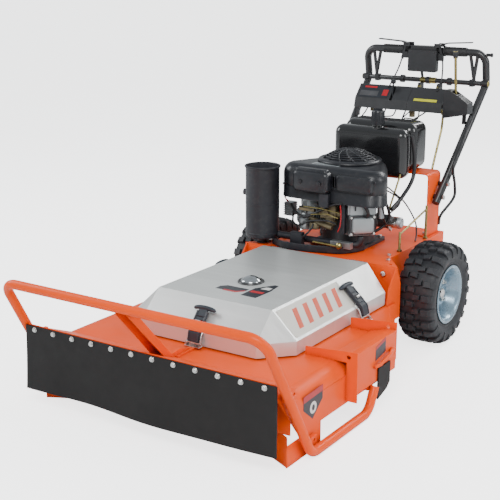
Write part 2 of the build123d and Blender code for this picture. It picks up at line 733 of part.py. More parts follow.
ARCH_BEND = 18.0
with BuildPart() as tail_arch:
    with BuildSketch(Plane.XZ.offset(-ARCH_FRONT)) as arch_face:
        with Locations((0, (ARCH_TOP + PLATE_TOP) / 2)):
            Rectangle(2 * ARCH_HALF, ARCH_TOP - PLATE_TOP - 0.2)
        fillet(arch_face.vertices().group_by(Axis.Y)[-1], ARCH_BEND)
        with BuildSketch(mode=Mode.PRIVATE) as arch_inside:
            with Locations((0, (ARCH_TOP + PLATE_TOP) / 2 - SHEET)):
                Rectangle(2 * (ARCH_HALF - SHEET), ARCH_TOP - PLATE_TOP)
            fillet(arch_inside.vertices().group_by(Axis.Y)[-1], ARCH_BEND - SHEET)
        add(arch_inside.sketch, mode=Mode.SUBTRACT)
    extrude(amount=-ARCH_DEPTH)
    for side in (-1, 1):
        foot = sorted((side * (ARCH_HALF - 40), side * (ARCH_HALF - 1)))
        foot_top = (foot[1], ARCH_FRONT + ARCH_DEPTH, PLATE_TOP + SHEET)
        add(block((foot[0], ARCH_FRONT, PLATE_TOP + 0.1), foot_top))
publish(tail_arch, "tail_arch")

# ---------------------------------------------------------------- transaxle and wheels
AXLE_IN = 150.0
AXLE_OUT = 404.0
HUB_X = 396.0
NUT_PCD = 100.0
with BuildPart() as transaxle:
    add(block((-95, fore(75), 140), (95, aft(100), 268)))
    fillet(transaxle.edges(), 14)
    for side in (-1, 1):
        add(rod((side * 90, AXLE_Y, WHEEL_R), (side * 250, AXLE_Y, WHEEL_R), 27))
        add(rod((side * 236, AXLE_Y, WHEEL_R), (side * 250, AXLE_Y, WHEEL_R), 45))
        bore_end = (side * 260, AXLE_Y, WHEEL_R)
        add(rod((side * (AXLE_IN - 4), AXLE_Y, WHEEL_R), bore_end, AXLE_R + RUN), mode=Mode.SUBTRACT)
publish(transaxle, "transaxle")


def wheel_bolts():
    """Places of the four wheel studs in the YZ plane, from the wheel's centre."""
    turns = [radians(45 + 90 * i) for i in range(4)]
    return [(NUT_PCD / 2 * cos(a), NUT_PCD / 2 * sin(a)) for a in turns]


def axle(side):
    """Half axle with its hub flange, studs and nuts."""
    with BuildPart() as made:
        add(rod((side * AXLE_IN, AXLE_Y, WHEEL_R), (side * AXLE_OUT, AXLE_Y, WHEEL_R), AXLE_R))
        add(rod((side * 330, AXLE_Y, WHEEL_R), (side * HUB_X, AXLE_Y, WHEEL_R), 24))
        add(rod((side * (HUB_X - 9), AXLE_Y, WHEEL_R), (side * HUB_X, AXLE_Y, WHEEL_R), 64))
        for dy, dz in wheel_bolts():
            start = (side * (HUB_X - 2), AXLE_Y + dy, WHEEL_R + dz)
            add(rod(start, (side * (HUB_X + 20), AXLE_Y + dy, WHEEL_R + dz), 6))
            add(hex_head((side * (HUB_X + 4.1), AXLE_Y + dy, WHEEL_R + dz), (side, 0, 0), 19, 10))
    return made.part


def wheel_profile(points, side):
    """Ring about the axle from a closed outline of (distance along X, radius)."""
    with BuildPart() as made:
        with BuildSketch(Plane.XY):
            with BuildLine():
                Polyline(*[(side * x, r) for x, r in points], close=True)
            make_face()
        revolve(axis=Axis.X)
    return made.part.moved(Location((0, AXLE_Y, WHEEL_R)))


RIM_OUT = 452.0
RIM_IN = 316.0
rim_points = [
    (HUB_X, 20), (HUB_X + 4, 20), (HUB_X + 4, 74), (HUB_X + 18, 92), (RIM_OUT - 14, 94), (RIM_OUT - 10, 104),
    (RIM_OUT, 112), (RIM_OUT, 115), (RIM_OUT - 4, 115), (RIM_OUT - 12, RIM_R), (RIM_IN + 12, RIM_R),
    (RIM_IN + 4, 115), (RIM_IN, 115), (RIM_IN, 112), (RIM_IN + 10, 98), (HUB_X + 10, 97), (HUB_X, 78),
]
TYRE_FLANK = TYRE_W / 2
tyre_points = [
    (WHEEL_X - 50, RIM_R + 0.3), (WHEEL_X - 56, RIM_R + 1), (WHEEL_X - 60, 118), (WHEEL_X - 70, 130),
    (WHEEL_X - TYRE_FLANK, 152), (WHEEL_X - TYRE_FLANK + 2, 176), (WHEEL_X - TYRE_FLANK + 12, 193),
    (WHEEL_X - 42, 201), (WHEEL_X, WHEEL_R),
    (WHEEL_X + 42, 201), (WHEEL_X + TYRE_FLANK - 12, 193), (WHEEL_X + TYRE_FLANK - 2, 176),
    (WHEEL_X + TYRE_FLANK, 152), (WHEEL_X + 70, 130), (WHEEL_X + 60, 118), (WHEEL_X + 56, RIM_R + 1),
    (WHEEL_X + 50, RIM_R + 0.3),
    (WHEEL_X + 50, 116), (WHEEL_X + 60, 134), (WHEEL_X + 64, 152), (WHEEL_X + 62, 172), (WHEEL_X + 40, 186),
    (WHEEL_X - 40, 186), (WHEEL_X - 62, 172), (WHEEL_X - 64, 152), (WHEEL_X - 60, 134), (WHEEL_X - 50, 116),
]


def rim(side):
    """Steel wheel with a deep outer side, stud holes and a valve stem."""
    with BuildPart() as made:
        add(wheel_profile(rim_points, side))
        for dy, dz in wheel_bolts():
            hole = (side * (HUB_X - 3), AXLE_Y + dy, WHEEL_R + dz)
            add(rod(hole, (side * (HUB_X + 8), AXLE_Y + dy, WHEEL_R + dz), 6.2), mode=Mode.SUBTRACT)
        add(rod((side * 425, AXLE_Y - 84, WHEEL_R + 36), (side * 444, AXLE_Y - 74, WHEEL_R + 32), 4))
    return made.part


for name, side in (("left", 1), ("right", -1)):
    with BuildPart() as half_axle:
        add(axle(side))
    publish(half_axle, f"axle_{name}")
    with BuildPart() as wheel_rim:
        add(rim(side))
    publish(wheel_rim, f"rim_{name}")
    with BuildPart() as tyre:
        add(wheel_profile(tyre_points, side))
    publish(tyre, f"tyre_{name}")

# ---------------------------------------------------------------- engine: upright-shaft vee twin
CRANK_R = 14.0
FLYWHEEL_R = 118.0
CASE_R = 105.0
CASE_TOP = 500.0
CYL_Z = 467.0
CYL_PAD = 106.0
HEAD_OUT = 186.0
COVER_OUT = 207.0
SHROUD_LOW = 560.0
SHROUD_TOP = 690.0
SHROUD_R = 152.0
SHOULDER = 225.0         # half width of the shroud in front of the crank
FILTER_Y = aft(64)
FILTER_Z = 443.0
FILTER_R = 24.0
STARTER = (-140.0, aft(70))

with BuildPart() as crankshaft:
    add(disc((0, CRANK_Y), CRANK_R, PULLEY_Z - 14, 652))
    add(disc((0, CRANK_Y), 22, PULLEY_Z - 14, PULLEY_Z - PULLEY_H / 2))
    add(hex_head((0, CRANK_Y, PULLEY_Z - 13), (0, 0, -1), 24, 10))
    add(disc((0, CRANK_Y), FLYWHEEL_R, 612, 634))
    add(disc((0, CRANK_Y), 60, 630, 646))
    # blower blades on the flywheel
    with Locations((0, CRANK_Y, 648)):
        with PolarLocations(90, 12):
            Box(44, 4, 30)
publish(crankshaft, "crankshaft")

with BuildPart() as engine_block:
    with BuildSketch(Plane.XY.offset(PLATE_TOP + 0.1)):
        with Locations((0, CRANK_Y)):
            RectangleRounded(236, 236, 24)
        with Locations(STARTER):
            Circle(34)
        with Locations((-100, aft(45))):
            Rectangle(90, 60)
    extrude(amount=12)
    add(disc((0, CRANK_Y), CASE_R, PLATE_TOP + 5, CASE_TOP))
    add(disc((0, CRANK_Y), 78, CASE_TOP - 1, SHROUD_LOW - 6))
    # flat pads for the two cylinders
    for turn in (-45, -135):
        with Locations(Location((0, CRANK_Y, CYL_Z), (0, 0, turn))):
            Box(CYL_PAD, 104, 84, align=(Align.MIN, Align.CENTER, Align.CENTER))
    # oil filter boss
    add(rod((40, FILTER_Y, FILTER_Z), (150, FILTER_Y, FILTER_Z), 28))
    add(disc((0, CRANK_Y), CRANK_R + RUN, PLATE_TOP - 1, SHROUD_LOW), mode=Mode.SUBTRACT)
publish(engine_block, "engine_block")


def cylinder(turn):
    """Finned barrel and head along one direction from the crank."""
    with BuildPart() as made:
        with Locations(Location((0, CRANK_Y, CYL_Z), (0, 0, turn))):
            with Locations((CYL_PAD + 0.1, 0, 0)):
                Box(70, 76, 76, align=(Align.MIN, Align.CENTER, Align.CENTER))
            for i in range(5):
                with Locations((CYL_PAD + 4 + 9.5 * i, 0, 0)):
                    Box(3, 108, 88, align=(Align.MIN, Align.CENTER, Align.CENTER))
            with Locations((CYL_PAD + 52, 0, 0)):
                Box(HEAD_OUT - CYL_PAD - 52, 104, 82, align=(Align.MIN, Align.CENTER, Align.CENTER))
            # sheet cowl over the fins
            with Locations((CYL_PAD + 2, 0, 43)):
                Box(HEAD_OUT - CYL_PAD - 4, 116, 40, align=(Align.MIN, Align.CENTER, Align.MIN))
    return made.part


with BuildPart() as cylinders:
    for turn in (-45, -135):
        add(cylinder(turn))
publish(cylinders, "cylinders")

with BuildPart() as valve_covers:
    for turn in (-45, -135):
        with Locations(Location((0, CRANK_Y, CYL_Z), (0, 0, turn))):
            with Locations((HEAD_OUT + 0.1, 0, 0)):
                Box(COVER_OUT - HEAD_OUT, 104, 76, align=(Align.MIN, Align.CENTER, Align.CENTER))
    cover_edges = valve_covers.edges().filter_by(lambda e: abs(e.length - (COVER_OUT - HEAD_OUT)) < 0.01)
    fillet(cover_edges, 12)
publish(valve_covers, "valve_covers")


def shroud_plan(inset):
    """Plan of the blower shroud: a circle about the crank with square shoulders in front."""
    with BuildSketch() as plan:
        with Locations((0, CRANK_Y)):
            Circle(SHROUD_R - inset)
        with BuildLine():
            Polyline(
                (SHOULDER - inset, fore(195) + inset), (SHOULDER - inset, fore(120)), (150 - inset, aft(15)),
                (inset - 150, aft(15)), (inset - SHOULDER, fore(120)), (inset - SHOULDER, fore(195) + inset),
                close=True,
            )
        make_face()
        fillet(plan.vertices().group_by(Axis.Y)[0], 42 - inset)
    return plan.sketch


with BuildPart() as engine_shroud:
    with BuildSketch(Plane.XY.offset(SHROUD_LOW)):
        add(shroud_plan(0))
    extrude(amount=SHROUD_TOP - SHROUD_LOW)
    fillet(engine_shroud.edges().group_by(Axis.Z)[-1], 7)
    with BuildSketch(Plane.XY.offset(SHROUD_LOW - 1)):
        add(shroud_plan(3))
    extrude(amount=SHROUD_TOP - SHROUD_LOW - 2, mode=Mode.SUBTRACT)
    add(disc((0, CRANK_Y), 104, SHROUD_TOP - 10, SHROUD_TOP + 10), mode=Mode.SUBTRACT)
publish(engine_shroud, "engine_shroud")

with BuildPart() as fan_cover:
    add(disc((0, CRANK_Y), 127, SHROUD_TOP + 0.1, SHROUD_TOP + 10, 100))
    add(cap((0, CRANK_Y), 124, SHROUD_TOP + 9, SHROUD_TOP + 55))
    add(cap((0, CRANK_Y), 121, SHROUD_TOP + 6, SHROUD_TOP + 52), mode=Mode.SUBTRACT)
    add(disc((0, CRANK_Y), 100, SHROUD_TOP - 1, SHROUD_TOP + 9.5), mode=Mode.SUBTRACT)
    with Locations((0, CRANK_Y, SHROUD_TOP + 30)):
        for ring, count in ((52, 12), (84, 18), (108, 24)):
            with PolarLocations(ring, count):
                Box(24, 6, 80, mode=Mode.SUBTRACT)
publish(fan_cover, "fan_cover")

with BuildPart() as air_cleaner:
    add(block((-134, fore(236), 592), (24, fore(195.2), 676)))
    fillet(air_cleaner.edges(), 12)
    add(block((-122, fore(230), 670), (12, fore(200), 684)))
    fillet(air_cleaner.edges().group_by(Axis.Z)[-1], 5)
    for x in (-100, -10):
        add(rod((x, fore(230), 634), (x, fore(242), 634), 9))
publish(air_cleaner, "air_cleaner")

with BuildPart() as carburettor:
    add(block((-32, fore(188), 480), (32, fore(128), 556)))
    fillet(carburettor.edges().filter_by(Axis.Z), 8)
    add(block((-22, fore(224), 530), (22, fore(180), 552)))
    add(block((-22, fore(224), 545), (22, fore(200), 591.9)))
    add(rod((-50, fore(150), 500), (50, fore(150), 500), 13))
    add(rod((0, fore(160), 462), (0, fore(160), 485), 22))
publish(carburettor, "carburettor")

with BuildPart() as oil_filter:
    add(rod((150.1, FILTER_Y, FILTER_Z), (206, FILTER_Y, FILTER_Z), FILTER_R))
    fillet(oil_filter.edges().group_by(Axis.X)[-1], 6)
publish(oil_filter, "oil_filter")

with BuildPart() as starter_motor:
    add(disc(STARTER, 30, PLATE_TOP + 12.2, 520))
    add(disc(STARTER, 33, 500, 545))
    add(disc(STARTER, 20, 540, 556))
    add(disc((STARTER[0] - 46, STARTER[1]), 15, 440, 510))
    add(block((STARTER[0] - 50, STARTER[1] - 8, 470), (STARTER[0] - 20, STARTER[1] + 8, 482)))
publish(starter_motor, "starter_motor")

PIPE_R = 14.0
with BuildPart() as exhaust_pipe:
    pipe_path = bent_path(
        [
            (122, fore(134), 421), (122, fore(137), 385), (60, fore(166), 385), (-120, fore(170), 385),
            (MUFFLER_X + MUFFLER_R + 2.4, MUFFLER_Y + 8, 396),
        ],
        22,
    )
    add(tube(pipe_path, PIPE_R))
publish(exhaust_pipe, "exhaust_pipe")

MUFFLER_TOP = 674.0
with BuildPart() as muffler:
    add(disc((MUFFLER_X, MUFFLER_Y), MUFFLER_R, 380, MUFFLER_TOP))
    fillet(muffler.edges().group_by(Axis.Z)[0], 5)
    add(disc((MUFFLER_X, MUFFLER_Y), MUFFLER_R + 3.5, MUFFLER_TOP - 6, MUFFLER_TOP))
    add(disc((MUFFLER_X, MUFFLER_Y), MUFFLER_R - 2, 384, MUFFLER_TOP + 1), mode=Mode.SUBTRACT)
    add(disc((MUFFLER_X, MUFFLER_Y), 40, 382, 640))
    add(disc((MUFFLER_X, MUFFLER_Y), 25, PLATE_TOP + 0.1, 384))
    add(rod((MUFFLER_X - MUFFLER_R + 1, MUFFLER_Y, 555), (MUFFLER_X - MUFFLER_R - 12, MUFFLER_Y, 555), 10))
publish(muffler, "muffler")

# ---------------------------------------------------------------- fuel tank
TANK_FRONT_TOP = 804.0
TANK_REAR_TOP = 820.0
CAP_AT = (20.0, aft(188))
CAP_R = 26.0
NECK_R = 21.0
with BuildPart() as tank_front:
    add(block((-163, aft(150), 598), (163, aft(226), TANK_FRONT_TOP)))
    fillet(tank_front.edges(), 34)
with BuildPart() as tank_rear:
    add(block((-165, aft(229), ARCH_TOP + 0.2), (165, aft(378), TANK_REAR_TOP)))
    fillet(tank_rear.edges(), 38)
with BuildPart() as fuel_tank:
    add(tank_front.part)
    # web that joins the lobes, and the filler neck
    add(block((-110, aft(200), 672), (110, aft(300), 764)))
    add(tank_rear.part)
    add(disc(CAP_AT, NECK_R, TANK_FRONT_TOP - 30, 836))
publish(fuel_tank, "fuel_tank")

with BuildPart() as fuel_cap:
    add(disc(CAP_AT, CAP_R, 812, 872))
    add(disc(CAP_AT, NECK_R + RUN, 811, 836.2), mode=Mode.SUBTRACT)
    fillet(fuel_cap.edges().group_by(Axis.Z)[-1], 4)
    with Locations((CAP_AT[0], CAP_AT[1], 876)):
        Box(40, 9, 12)
    with Locations((CAP_AT[0], CAP_AT[1], 842)):
        with PolarLocations(CAP_R + 0.5, 18):
            Box(3, 4, 52)
publish(fuel_cap, "fuel_cap")

# ---------------------------------------------------------------- handlebar and its controls
LEVER_X = 80.0
LEVER_Z = 1106.0
TIP_X = 222.0
RAIL_LOW = (258.0, aft(270), 493.0)
RAIL_BEND = (284.0, aft(690), 950.0)
RAIL_TOP = (284.0, BAR_Y, BAR_Z)
ARCH_BOLTS = ((aft(286), 518.0), (aft(330), 566.0))


def mirrored(point):
    """Same point on the other side of the machine."""
    return (-point[0], point[1], point[2])


with BuildPart() as handlebar:
    bar_path = bent_path(
        [RAIL_LOW, RAIL_BEND, RAIL_TOP, mirrored(RAIL_TOP), mirrored(RAIL_BEND), mirrored(RAIL_LOW)], 48,
    )
    add(tube(bar_path, RAIL_R))
    add(rod((-291, CROSS_Y, CROSS_Z), (291, CROSS_Y, CROSS_Z), 11))
    for side in (-1, 1):
        add(rod((side * 232, CROSS_Y, CROSS_Z), (side * 250, BAR_Y, BAR_Z), STRUT_R))
        add(rod((side * 238, CROSS_Y, CROSS_Z), (side * 214, BAR_Y, BAR_Z), STRUT_R))
        # spacer tubes at the bolts through the tail arch
        for y, z in ARCH_BOLTS:
            add(rod((side * (ARCH_HALF + 0.1), y, z), (side * 262, y, z), 10))
publish(handlebar, "handlebar")

with BuildPart() as grips:
    for side in (-1, 1):
        add(rod((side * 96, BAR_Y, BAR_Z), (side * 200, BAR_Y, BAR_Z), 19.5))
        add(rod((side * 96, BAR_Y, BAR_Z), (side * 101, BAR_Y, BAR_Z), 22.5))
        add(rod((side * 90, BAR_Y, BAR_Z), (side * 210, BAR_Y, BAR_Z), RAIL_R + RUN), mode=Mode.SUBTRACT)
publish(grips, "grips")

with BuildPart() as control_box:
    add(block((-60, aft(620), 990), (75, aft(647.5), 1084)))
    fillet(control_box.edges().filter_by(Axis.Y), 8)
    add(block((-54, aft(634), 1078), (68, aft(647.5), 1101)))
    add(block((-70, aft(640), 1097.2), (70, aft(682), 1101)))
    for side in (-1, 1):
        for y in (aft(627), aft(678)):
            ear = sorted((side * 60, side * (LEVER_X + 8)))
            add(block((ear[0], y, 1097.2), (ear[1], y + 4, LEVER_Z + 8)))
        add(rod((side * LEVER_X, aft(628), LEVER_Z), (side * LEVER_X, aft(681), LEVER_Z), 3))
    # post down to the cross tube
    add(rod((0, aft(640), 992), (0, aft(650), 966), 6))
publish(control_box, "control_box")


def hand_lever(side):
    """Bell-crank hand lever: a blade over the grip and a short arm beside the box."""
    knee = side * (LEVER_X + 30)
    tip = side * TIP_X
    blade_shape = [
        (side * LEVER_X, LEVER_Z + 6), (knee, LEVER_Z + 13), (tip, LEVER_Z + 20),
        (tip, LEVER_Z + 15), (knee, LEVER_Z + 8), (side * (LEVER_X + 4), LEVER_Z - 2),
    ]
    arm_shape = [
        (side * (LEVER_X - 4), LEVER_Z), (side * (LEVER_X + 5), LEVER_Z),
        (side * 102, 1046), (side * 92, 1040),
    ]
    with BuildPart() as made:
        add(plate(Plane.XZ.offset(-aft(672)), blade_shape, 22))
        add(plate(Plane.XZ.offset(-aft(642)), arm_shape, 6))
        add(rod((side * LEVER_X, aft(634), LEVER_Z), (side * LEVER_X, aft(674), LEVER_Z), 6.5))
        bore_end = (side * LEVER_X, aft(676), LEVER_Z)
        add(rod((side * LEVER_X, aft(630), LEVER_Z), bore_end, 3 + RUN), mode=Mode.SUBTRACT)
    return made.part


with BuildPart() as lever_left:
    add(hand_lever(1))
publish(lever_left, "lever_left")
with BuildPart() as lever_right:
    add(hand_lever(-1))
publish(lever_right, "lever_right")

# ---------------------------------------------------------------- console, shift and throttle
SHIFT_PIVOT = (220.0, aft(515), 890.0)
THROTTLE_PIVOT = (-90.0, aft(545), 872.0)
with BuildPart() as console:
    section = [
        (aft(572), 928), (aft(520), 872), (aft(508), 830), (aft(548), 824), (aft(606), 888),
    ]
    add(plate(Plane.YZ.offset(-265), section, 257))
    add(plate(Plane.YZ.offset(-7), section, 163))
    # slot and pin for the throttle lever
    x, y, z = THROTTLE_PIVOT
    add(block((x - 6, aft(519), 862), (x + 6, aft(573), 940)), mode=Mode.SUBTRACT)
    add(rod((x - 8, y, z), (x + 8, y, z), 3))
    # shift housing at the end of the console with its slot and pin
    housing = [(178, 935), (205, 935), (288, 884), (288, 838), (178, 815)]
    add(plate(Plane.XZ.offset(-aft(540)), housing, 60))
    add(block((156, aft(522), 850), (180, aft(536), 868)))
    x, y, z = SHIFT_PIVOT
    add(block((x - 11, aft(488), 879), (x + 11, aft(536), 940)), mode=Mode.SUBTRACT)
    add(rod((x - 14, y, z), (x + 14, y, z), 4))
    # saddles down to the handlebar rails
    for side in (-1, 1):
        saddle = sorted((side * 248, side * 262))
        add(block((saddle[0], aft(525), 790), (saddle[1], aft(539), 850)))
        low = (side * RAIL_LOW[0], RAIL_LOW[1], RAIL_LOW[2])
        add(rod(low, (side * RAIL_BEND[0], RAIL_BEND[1], RAIL_BEND[2]), RAIL_R + 0.1), mode=Mode.SUBTRACT)
publish(console, "console")

with BuildPart() as shift_lever:
    x, y, z = SHIFT_PIVOT
    add(rod((x - 8, y, z), (x + 8, y, z), 9))
    add(rod((x, y, z + 4), (x, y - 25, 1085), 6))
    add(rod((x, y - 23, 1070), (x, y - 27, 1100), 10))
    add(rod((x - 9, y, z), (x + 9, y, z), 4 + RUN), mode=Mode.SUBTRACT)
publish(shift_lever, "shift_lever")

with BuildPart() as shift_link:
    link_path = bent_path(
        [
            (168, aft(512), 838), (168, aft(500), 765), (168, aft(422), 610), (168, aft(394), 440),
            (168, aft(394), 300),
        ],
        30,
    )
    add(tube(link_path, 5))
    for y, z in ((aft(512), 838), (aft(394), 300)):
        add(block((160, y - 9, z - 12), (176, y + 9, z + 10)))
        add(block((164, y - 10, z - 8), (172, y + 10, z + 11)), mode=Mode.SUBTRACT)
        add(rod((161, y, z), (175, y, z), 4))
publish(shift_link, "shift_link")

with BuildPart() as throttle_lever:
    x, y, z = THROTTLE_PIVOT
    add(rod((x - 4, y, z), (x + 4, y, z), 8))
    add(block((x - 2, y - 4, z + 5), (x + 2, y + 4, z + 74)))
    add(rod((x - 9, y, z + 76), (x + 9, y, z + 76), 9))
    add(rod((x - 5, y, z), (x + 5, y, z), 3 + RUN), mode=Mode.SUBTRACT)
publish(throttle_lever, "throttle_lever")

# ---------------------------------------------------------------- rods, cables and fasteners
with BuildPart() as linkage:
    for y, top in ((aft(205), 495), (fore(38), 434)):
        add(disc((246, y), 5, PLATE_TOP + 0.1, top))
        add(disc((246, y), 10, PLATE_TOP + 0.1, PLATE_TOP + 8))
    add(rod((246, aft(205), 480), (246, fore(38), 425), 4))
publish(linkage, "linkage")

with BuildPart() as cables:
    loop = smooth_path([
        (296, aft(500), 832), (301, aft(405), 728), (298, aft(340), 640), (297, aft(366), 560),
        (297, aft(360), 505), (286, aft(262), 450), (262, aft(300), 402),
    ])
    add(tube(loop, 5))
    hose = smooth_path([
        (174, aft(188), 780), (182, aft(205), 700), (182, aft(200), 605), (176, aft(120), 540),
        (176, aft(22), 505),
    ])
    add(tube(hose, 8))
publish(cables, "cables")

with BuildPart() as frame_bolts:
    for side in (-1, 1):
        for y, z in ARCH_BOLTS:
            add(hex_head((side * 280, y, z), (side, 0, 0), 17, 8))
            add(rod((side * (ARCH_HALF - SHEET - 0.1), y, z), (side * (ARCH_HALF - 16), y, z), 9))
        for y in (aft(255), aft(320)):
            add(hex_head((side * 219, y, PLATE_TOP + SHEET + 0.1), (0, 0, 1), 17, 8))
        for y in (fore(105), aft(85)):
            add(hex_head((side * 98, y, PLATE_TOP + 12.2), (0, 0, 1), 15, 9))
        add(hex_head((side * 285, PLATE_FRONT - 0.1, 323), (0, -1, 0), 19, 9))
        for x, y in ((268, fore(180)), (240, fore(115))):
            add(hex_head((side * x, y, PLATE_TOP + 0.1), (0, 0, 1), 15, 7))
publish(frame_bolts, "frame_bolts")
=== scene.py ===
import bmesh
import bpy
import math
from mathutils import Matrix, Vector


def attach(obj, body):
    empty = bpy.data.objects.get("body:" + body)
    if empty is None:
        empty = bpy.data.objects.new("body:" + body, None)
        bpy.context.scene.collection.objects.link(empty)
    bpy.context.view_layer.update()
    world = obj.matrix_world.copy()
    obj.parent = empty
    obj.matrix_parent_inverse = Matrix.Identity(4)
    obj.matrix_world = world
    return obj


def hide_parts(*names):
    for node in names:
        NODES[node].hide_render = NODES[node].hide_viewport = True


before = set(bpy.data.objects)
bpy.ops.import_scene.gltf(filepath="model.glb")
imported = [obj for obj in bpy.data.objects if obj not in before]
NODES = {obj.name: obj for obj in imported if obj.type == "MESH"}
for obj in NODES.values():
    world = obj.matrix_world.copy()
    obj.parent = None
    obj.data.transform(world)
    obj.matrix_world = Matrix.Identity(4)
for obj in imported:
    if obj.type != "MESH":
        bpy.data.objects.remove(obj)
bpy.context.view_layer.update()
AXLE = 0.3734  # drive axle behind the row's origin, in metres


def at(x, y, z):
    """Point in the row frame from millimetres about the drive axle."""
    return Vector((x / 1000, y / 1000 + AXLE, z / 1000))


# ---------------------------------------------------------------- shapes
class Shape:
    """Closed solids collected into one mesh. Lengths are in millimetres about the drive axle."""

    def __init__(self):
        self.points = []
        self.faces = []

    def add(self, points, faces):
        start = len(self.points)
        self.points += [Vector(p) for p in points]
        self.faces += [[start + i for i in face] for face in faces]
        return self

    def skin(self, rings, caps=True, closed=False):
        """Skin over rings of equal length; caps close the ends, closed joins last to first."""
        count = len(rings[0])
        points = [p for ring in rings for p in ring]
        faces = []
        last = len(rings) if closed else len(rings) - 1
        for i in range(last):
            a, b = i * count, ((i + 1) % len(rings)) * count
            for j in range(count):
                k = (j + 1) % count
                faces.append([a + j, a + k, b + k, b + j])
        if caps and not closed:
            faces.append(list(range(count))[::-1])
            faces.append([(len(rings) - 1) * count + j for j in range(count)])
        return self.add(points, faces)

    def box(self, low, high, turn=None):
        xs, ys, zs = zip(low, high)
        mid = Vector([(a + b) / 2 for a, b in zip(low, high)])
        ring = [(0, 0), (1, 0), (1, 1), (0, 1)]
        rings = [[Vector((xs[i], ys[j], zs[k])) for i, j in ring] for k in (0, 1)]
        if turn is not None:
            rings = [[mid + turn @ (p - mid) for p in r] for r in rings]
        return self.skin(rings)

    def cylinder(self, start, stop, r0, r1=None, sides=28):
        r1 = r0 if r1 is None else r1
        return self.tube([start, stop], r0, sides, end_radius=r1)

    def tube(self, points, radius, sides=16, end_radius=None, closed=False):
        """Round bar along points, with a frame carried along so that it doesn't twist."""
        pts = [Vector(p) for p in points]
        count = len(pts)
        rings = []
        side = None
        for i, p in enumerate(pts):
            if closed:
                along = pts[(i + 1) % count] - pts[i - 1]
            else:
                along = pts[min(i + 1, count - 1)] - pts[max(i - 1, 0)]
            along.normalize()
            if side is None:
                side = along.orthogonal().normalized()
            side = (side - along * side.dot(along)).normalized()
            other = along.cross(side)
            r = radius
            if end_radius is not None and count > 1:
                r = radius + (end_radius - radius) * i / (count - 1)
            turns = [2 * math.pi * j / sides for j in range(sides)]
            rings.append([p + side * (r * math.cos(t)) + other * (r * math.sin(t)) for t in turns])
        return self.skin(rings, closed=closed)

    def lathe(self, profile, centre, axis=(0, 0, 1), steps=64, closed=False):
        """Profile of (radius, height) turned about an axis through the centre."""
        axis = Vector(axis).normalized()
        side = axis.orthogonal().normalized()
        other = axis.cross(side)
        centre = Vector(centre)
        rings = []
        for i in range(steps):
            t = 2 * math.pi * i / steps
            out = side * math.cos(t) + other * math.sin(t)
            rings.append([centre + out * r + axis * h for r, h in profile])
        if closed:
            return self.skin(rings, closed=True)
        count = len(profile)
        points = [p for ring in rings for p in ring]
        faces = []
        for i in range(steps):
            a, b = i * count, ((i + 1) % steps) * count
            faces += [[a + j, b + j, b + j + 1, a + j + 1] for j in range(count - 1)]
        faces.append([i * count for i in range(steps)][::-1])
        faces.append([i * count + count - 1 for i in range(steps)])
        return self.add(points, faces)

    def hexagon(self, centre, axis, across, height):
        """Hexagonal head or nut standing on a point."""
        axis = Vector(axis).normalized()
        side = axis.orthogonal().normalized()
        other = axis.cross(side)
        centre = Vector(centre)
        r = across / math.sqrt(3)
        turns = [math.pi / 3 * i for i in range(6)]
        rings = []
        for h, k in ((0, 0.93), (height * 0.12, 1), (height * 0.85, 1), (height, 0.88)):
            rings.append([
                centre + axis * h + (side * math.cos(t) + other * math.sin(t)) * r * k for t in turns
            ])
        return self.skin(rings)

    def build(self, name, material, body, bevel=0.0, smooth=35, segments=2, replaces=()):
        """Makes the object, gives it its finish and lets it ride on a CAD body."""
        data = bpy.data.meshes.new(name)
        data.from_pydata([at(*p) for p in self.points], [], self.faces)
        data.validate()
        finish(data, material, smooth)
        obj = bpy.data.objects.new(name, data)
        bpy.context.scene.collection.objects.link(obj)
        fix_normals(data)
        if bevel:
            round_edges(obj, bevel, segments)
        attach(obj, body)
        if replaces:
            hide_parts(*replaces)
        return obj


def fix_normals(data):
    """Turns every face outwards."""
    work = bmesh.new()
    work.from_mesh(data)
    bmesh.ops.recalc_face_normals(work, faces=work.faces)
    work.to_mesh(data)
    work.free()


def finish(data, material, smooth):
    data.materials.clear()
    data.materials.append(material)
    data.polygons.foreach_set("use_smooth", [True] * len(data.polygons))
    data.set_sharp_from_angle(angle=math.radians(smooth))


def round_edges(obj, width, segments=2, limit=32):
    """Bevel modifier, width in millimetres."""
    mod = obj.modifiers.new("edges", "BEVEL")
    mod.width = width / 1000
    mod.segments = segments
    mod.limit_method = "ANGLE"
    mod.angle_limit = math.radians(limit)
    mod.harden_normals = True
    mod.use_clamp_overlap = True


def rounded(points, radius, steps=6):
    """Polyline with its inner corners rounded."""
    pts = [Vector(p) for p in points]
    out = [pts[0]]
    for i in range(1, len(pts) - 1):
        a, b, c = pts[i - 1], pts[i], pts[i + 1]
        to_a, to_c = (a - b), (c - b)
        half = to_a.angle(to_c) / 2
        reach = min(radius / math.tan(half), to_a.length * 0.49, to_c.length * 0.49)
        start, stop = b + to_a.normalized() * reach, b + to_c.normalized() * reach
        for k in range(steps + 1):
            t = k / steps
            out.append(start * (1 - t) ** 2 + b * (2 * t * (1 - t)) + stop * t * t)
    out.append(pts[-1])
    return out


def spline(points, steps=10):
    """Catmull-Rom curve through points."""
    pts = [Vector(p) for p in points]
    ends = [pts[0] * 2 - pts[1]] + pts + [pts[-1] * 2 - pts[-2]]
    out = []
    for i in range(1, len(ends) - 2):
        p0, p1, p2, p3 = ends[i - 1:i + 3]
        for k in range(steps):
            t = k / steps
            out.append(0.5 * (2 * p1 + (p2 - p0) * t + (2 * p0 - 5 * p1 + 4 * p2 - p3) * t ** 2
                              + (3 * p1 - p0 - 3 * p2 + p3) * t ** 3))
    out.append(pts[-1])
    return out


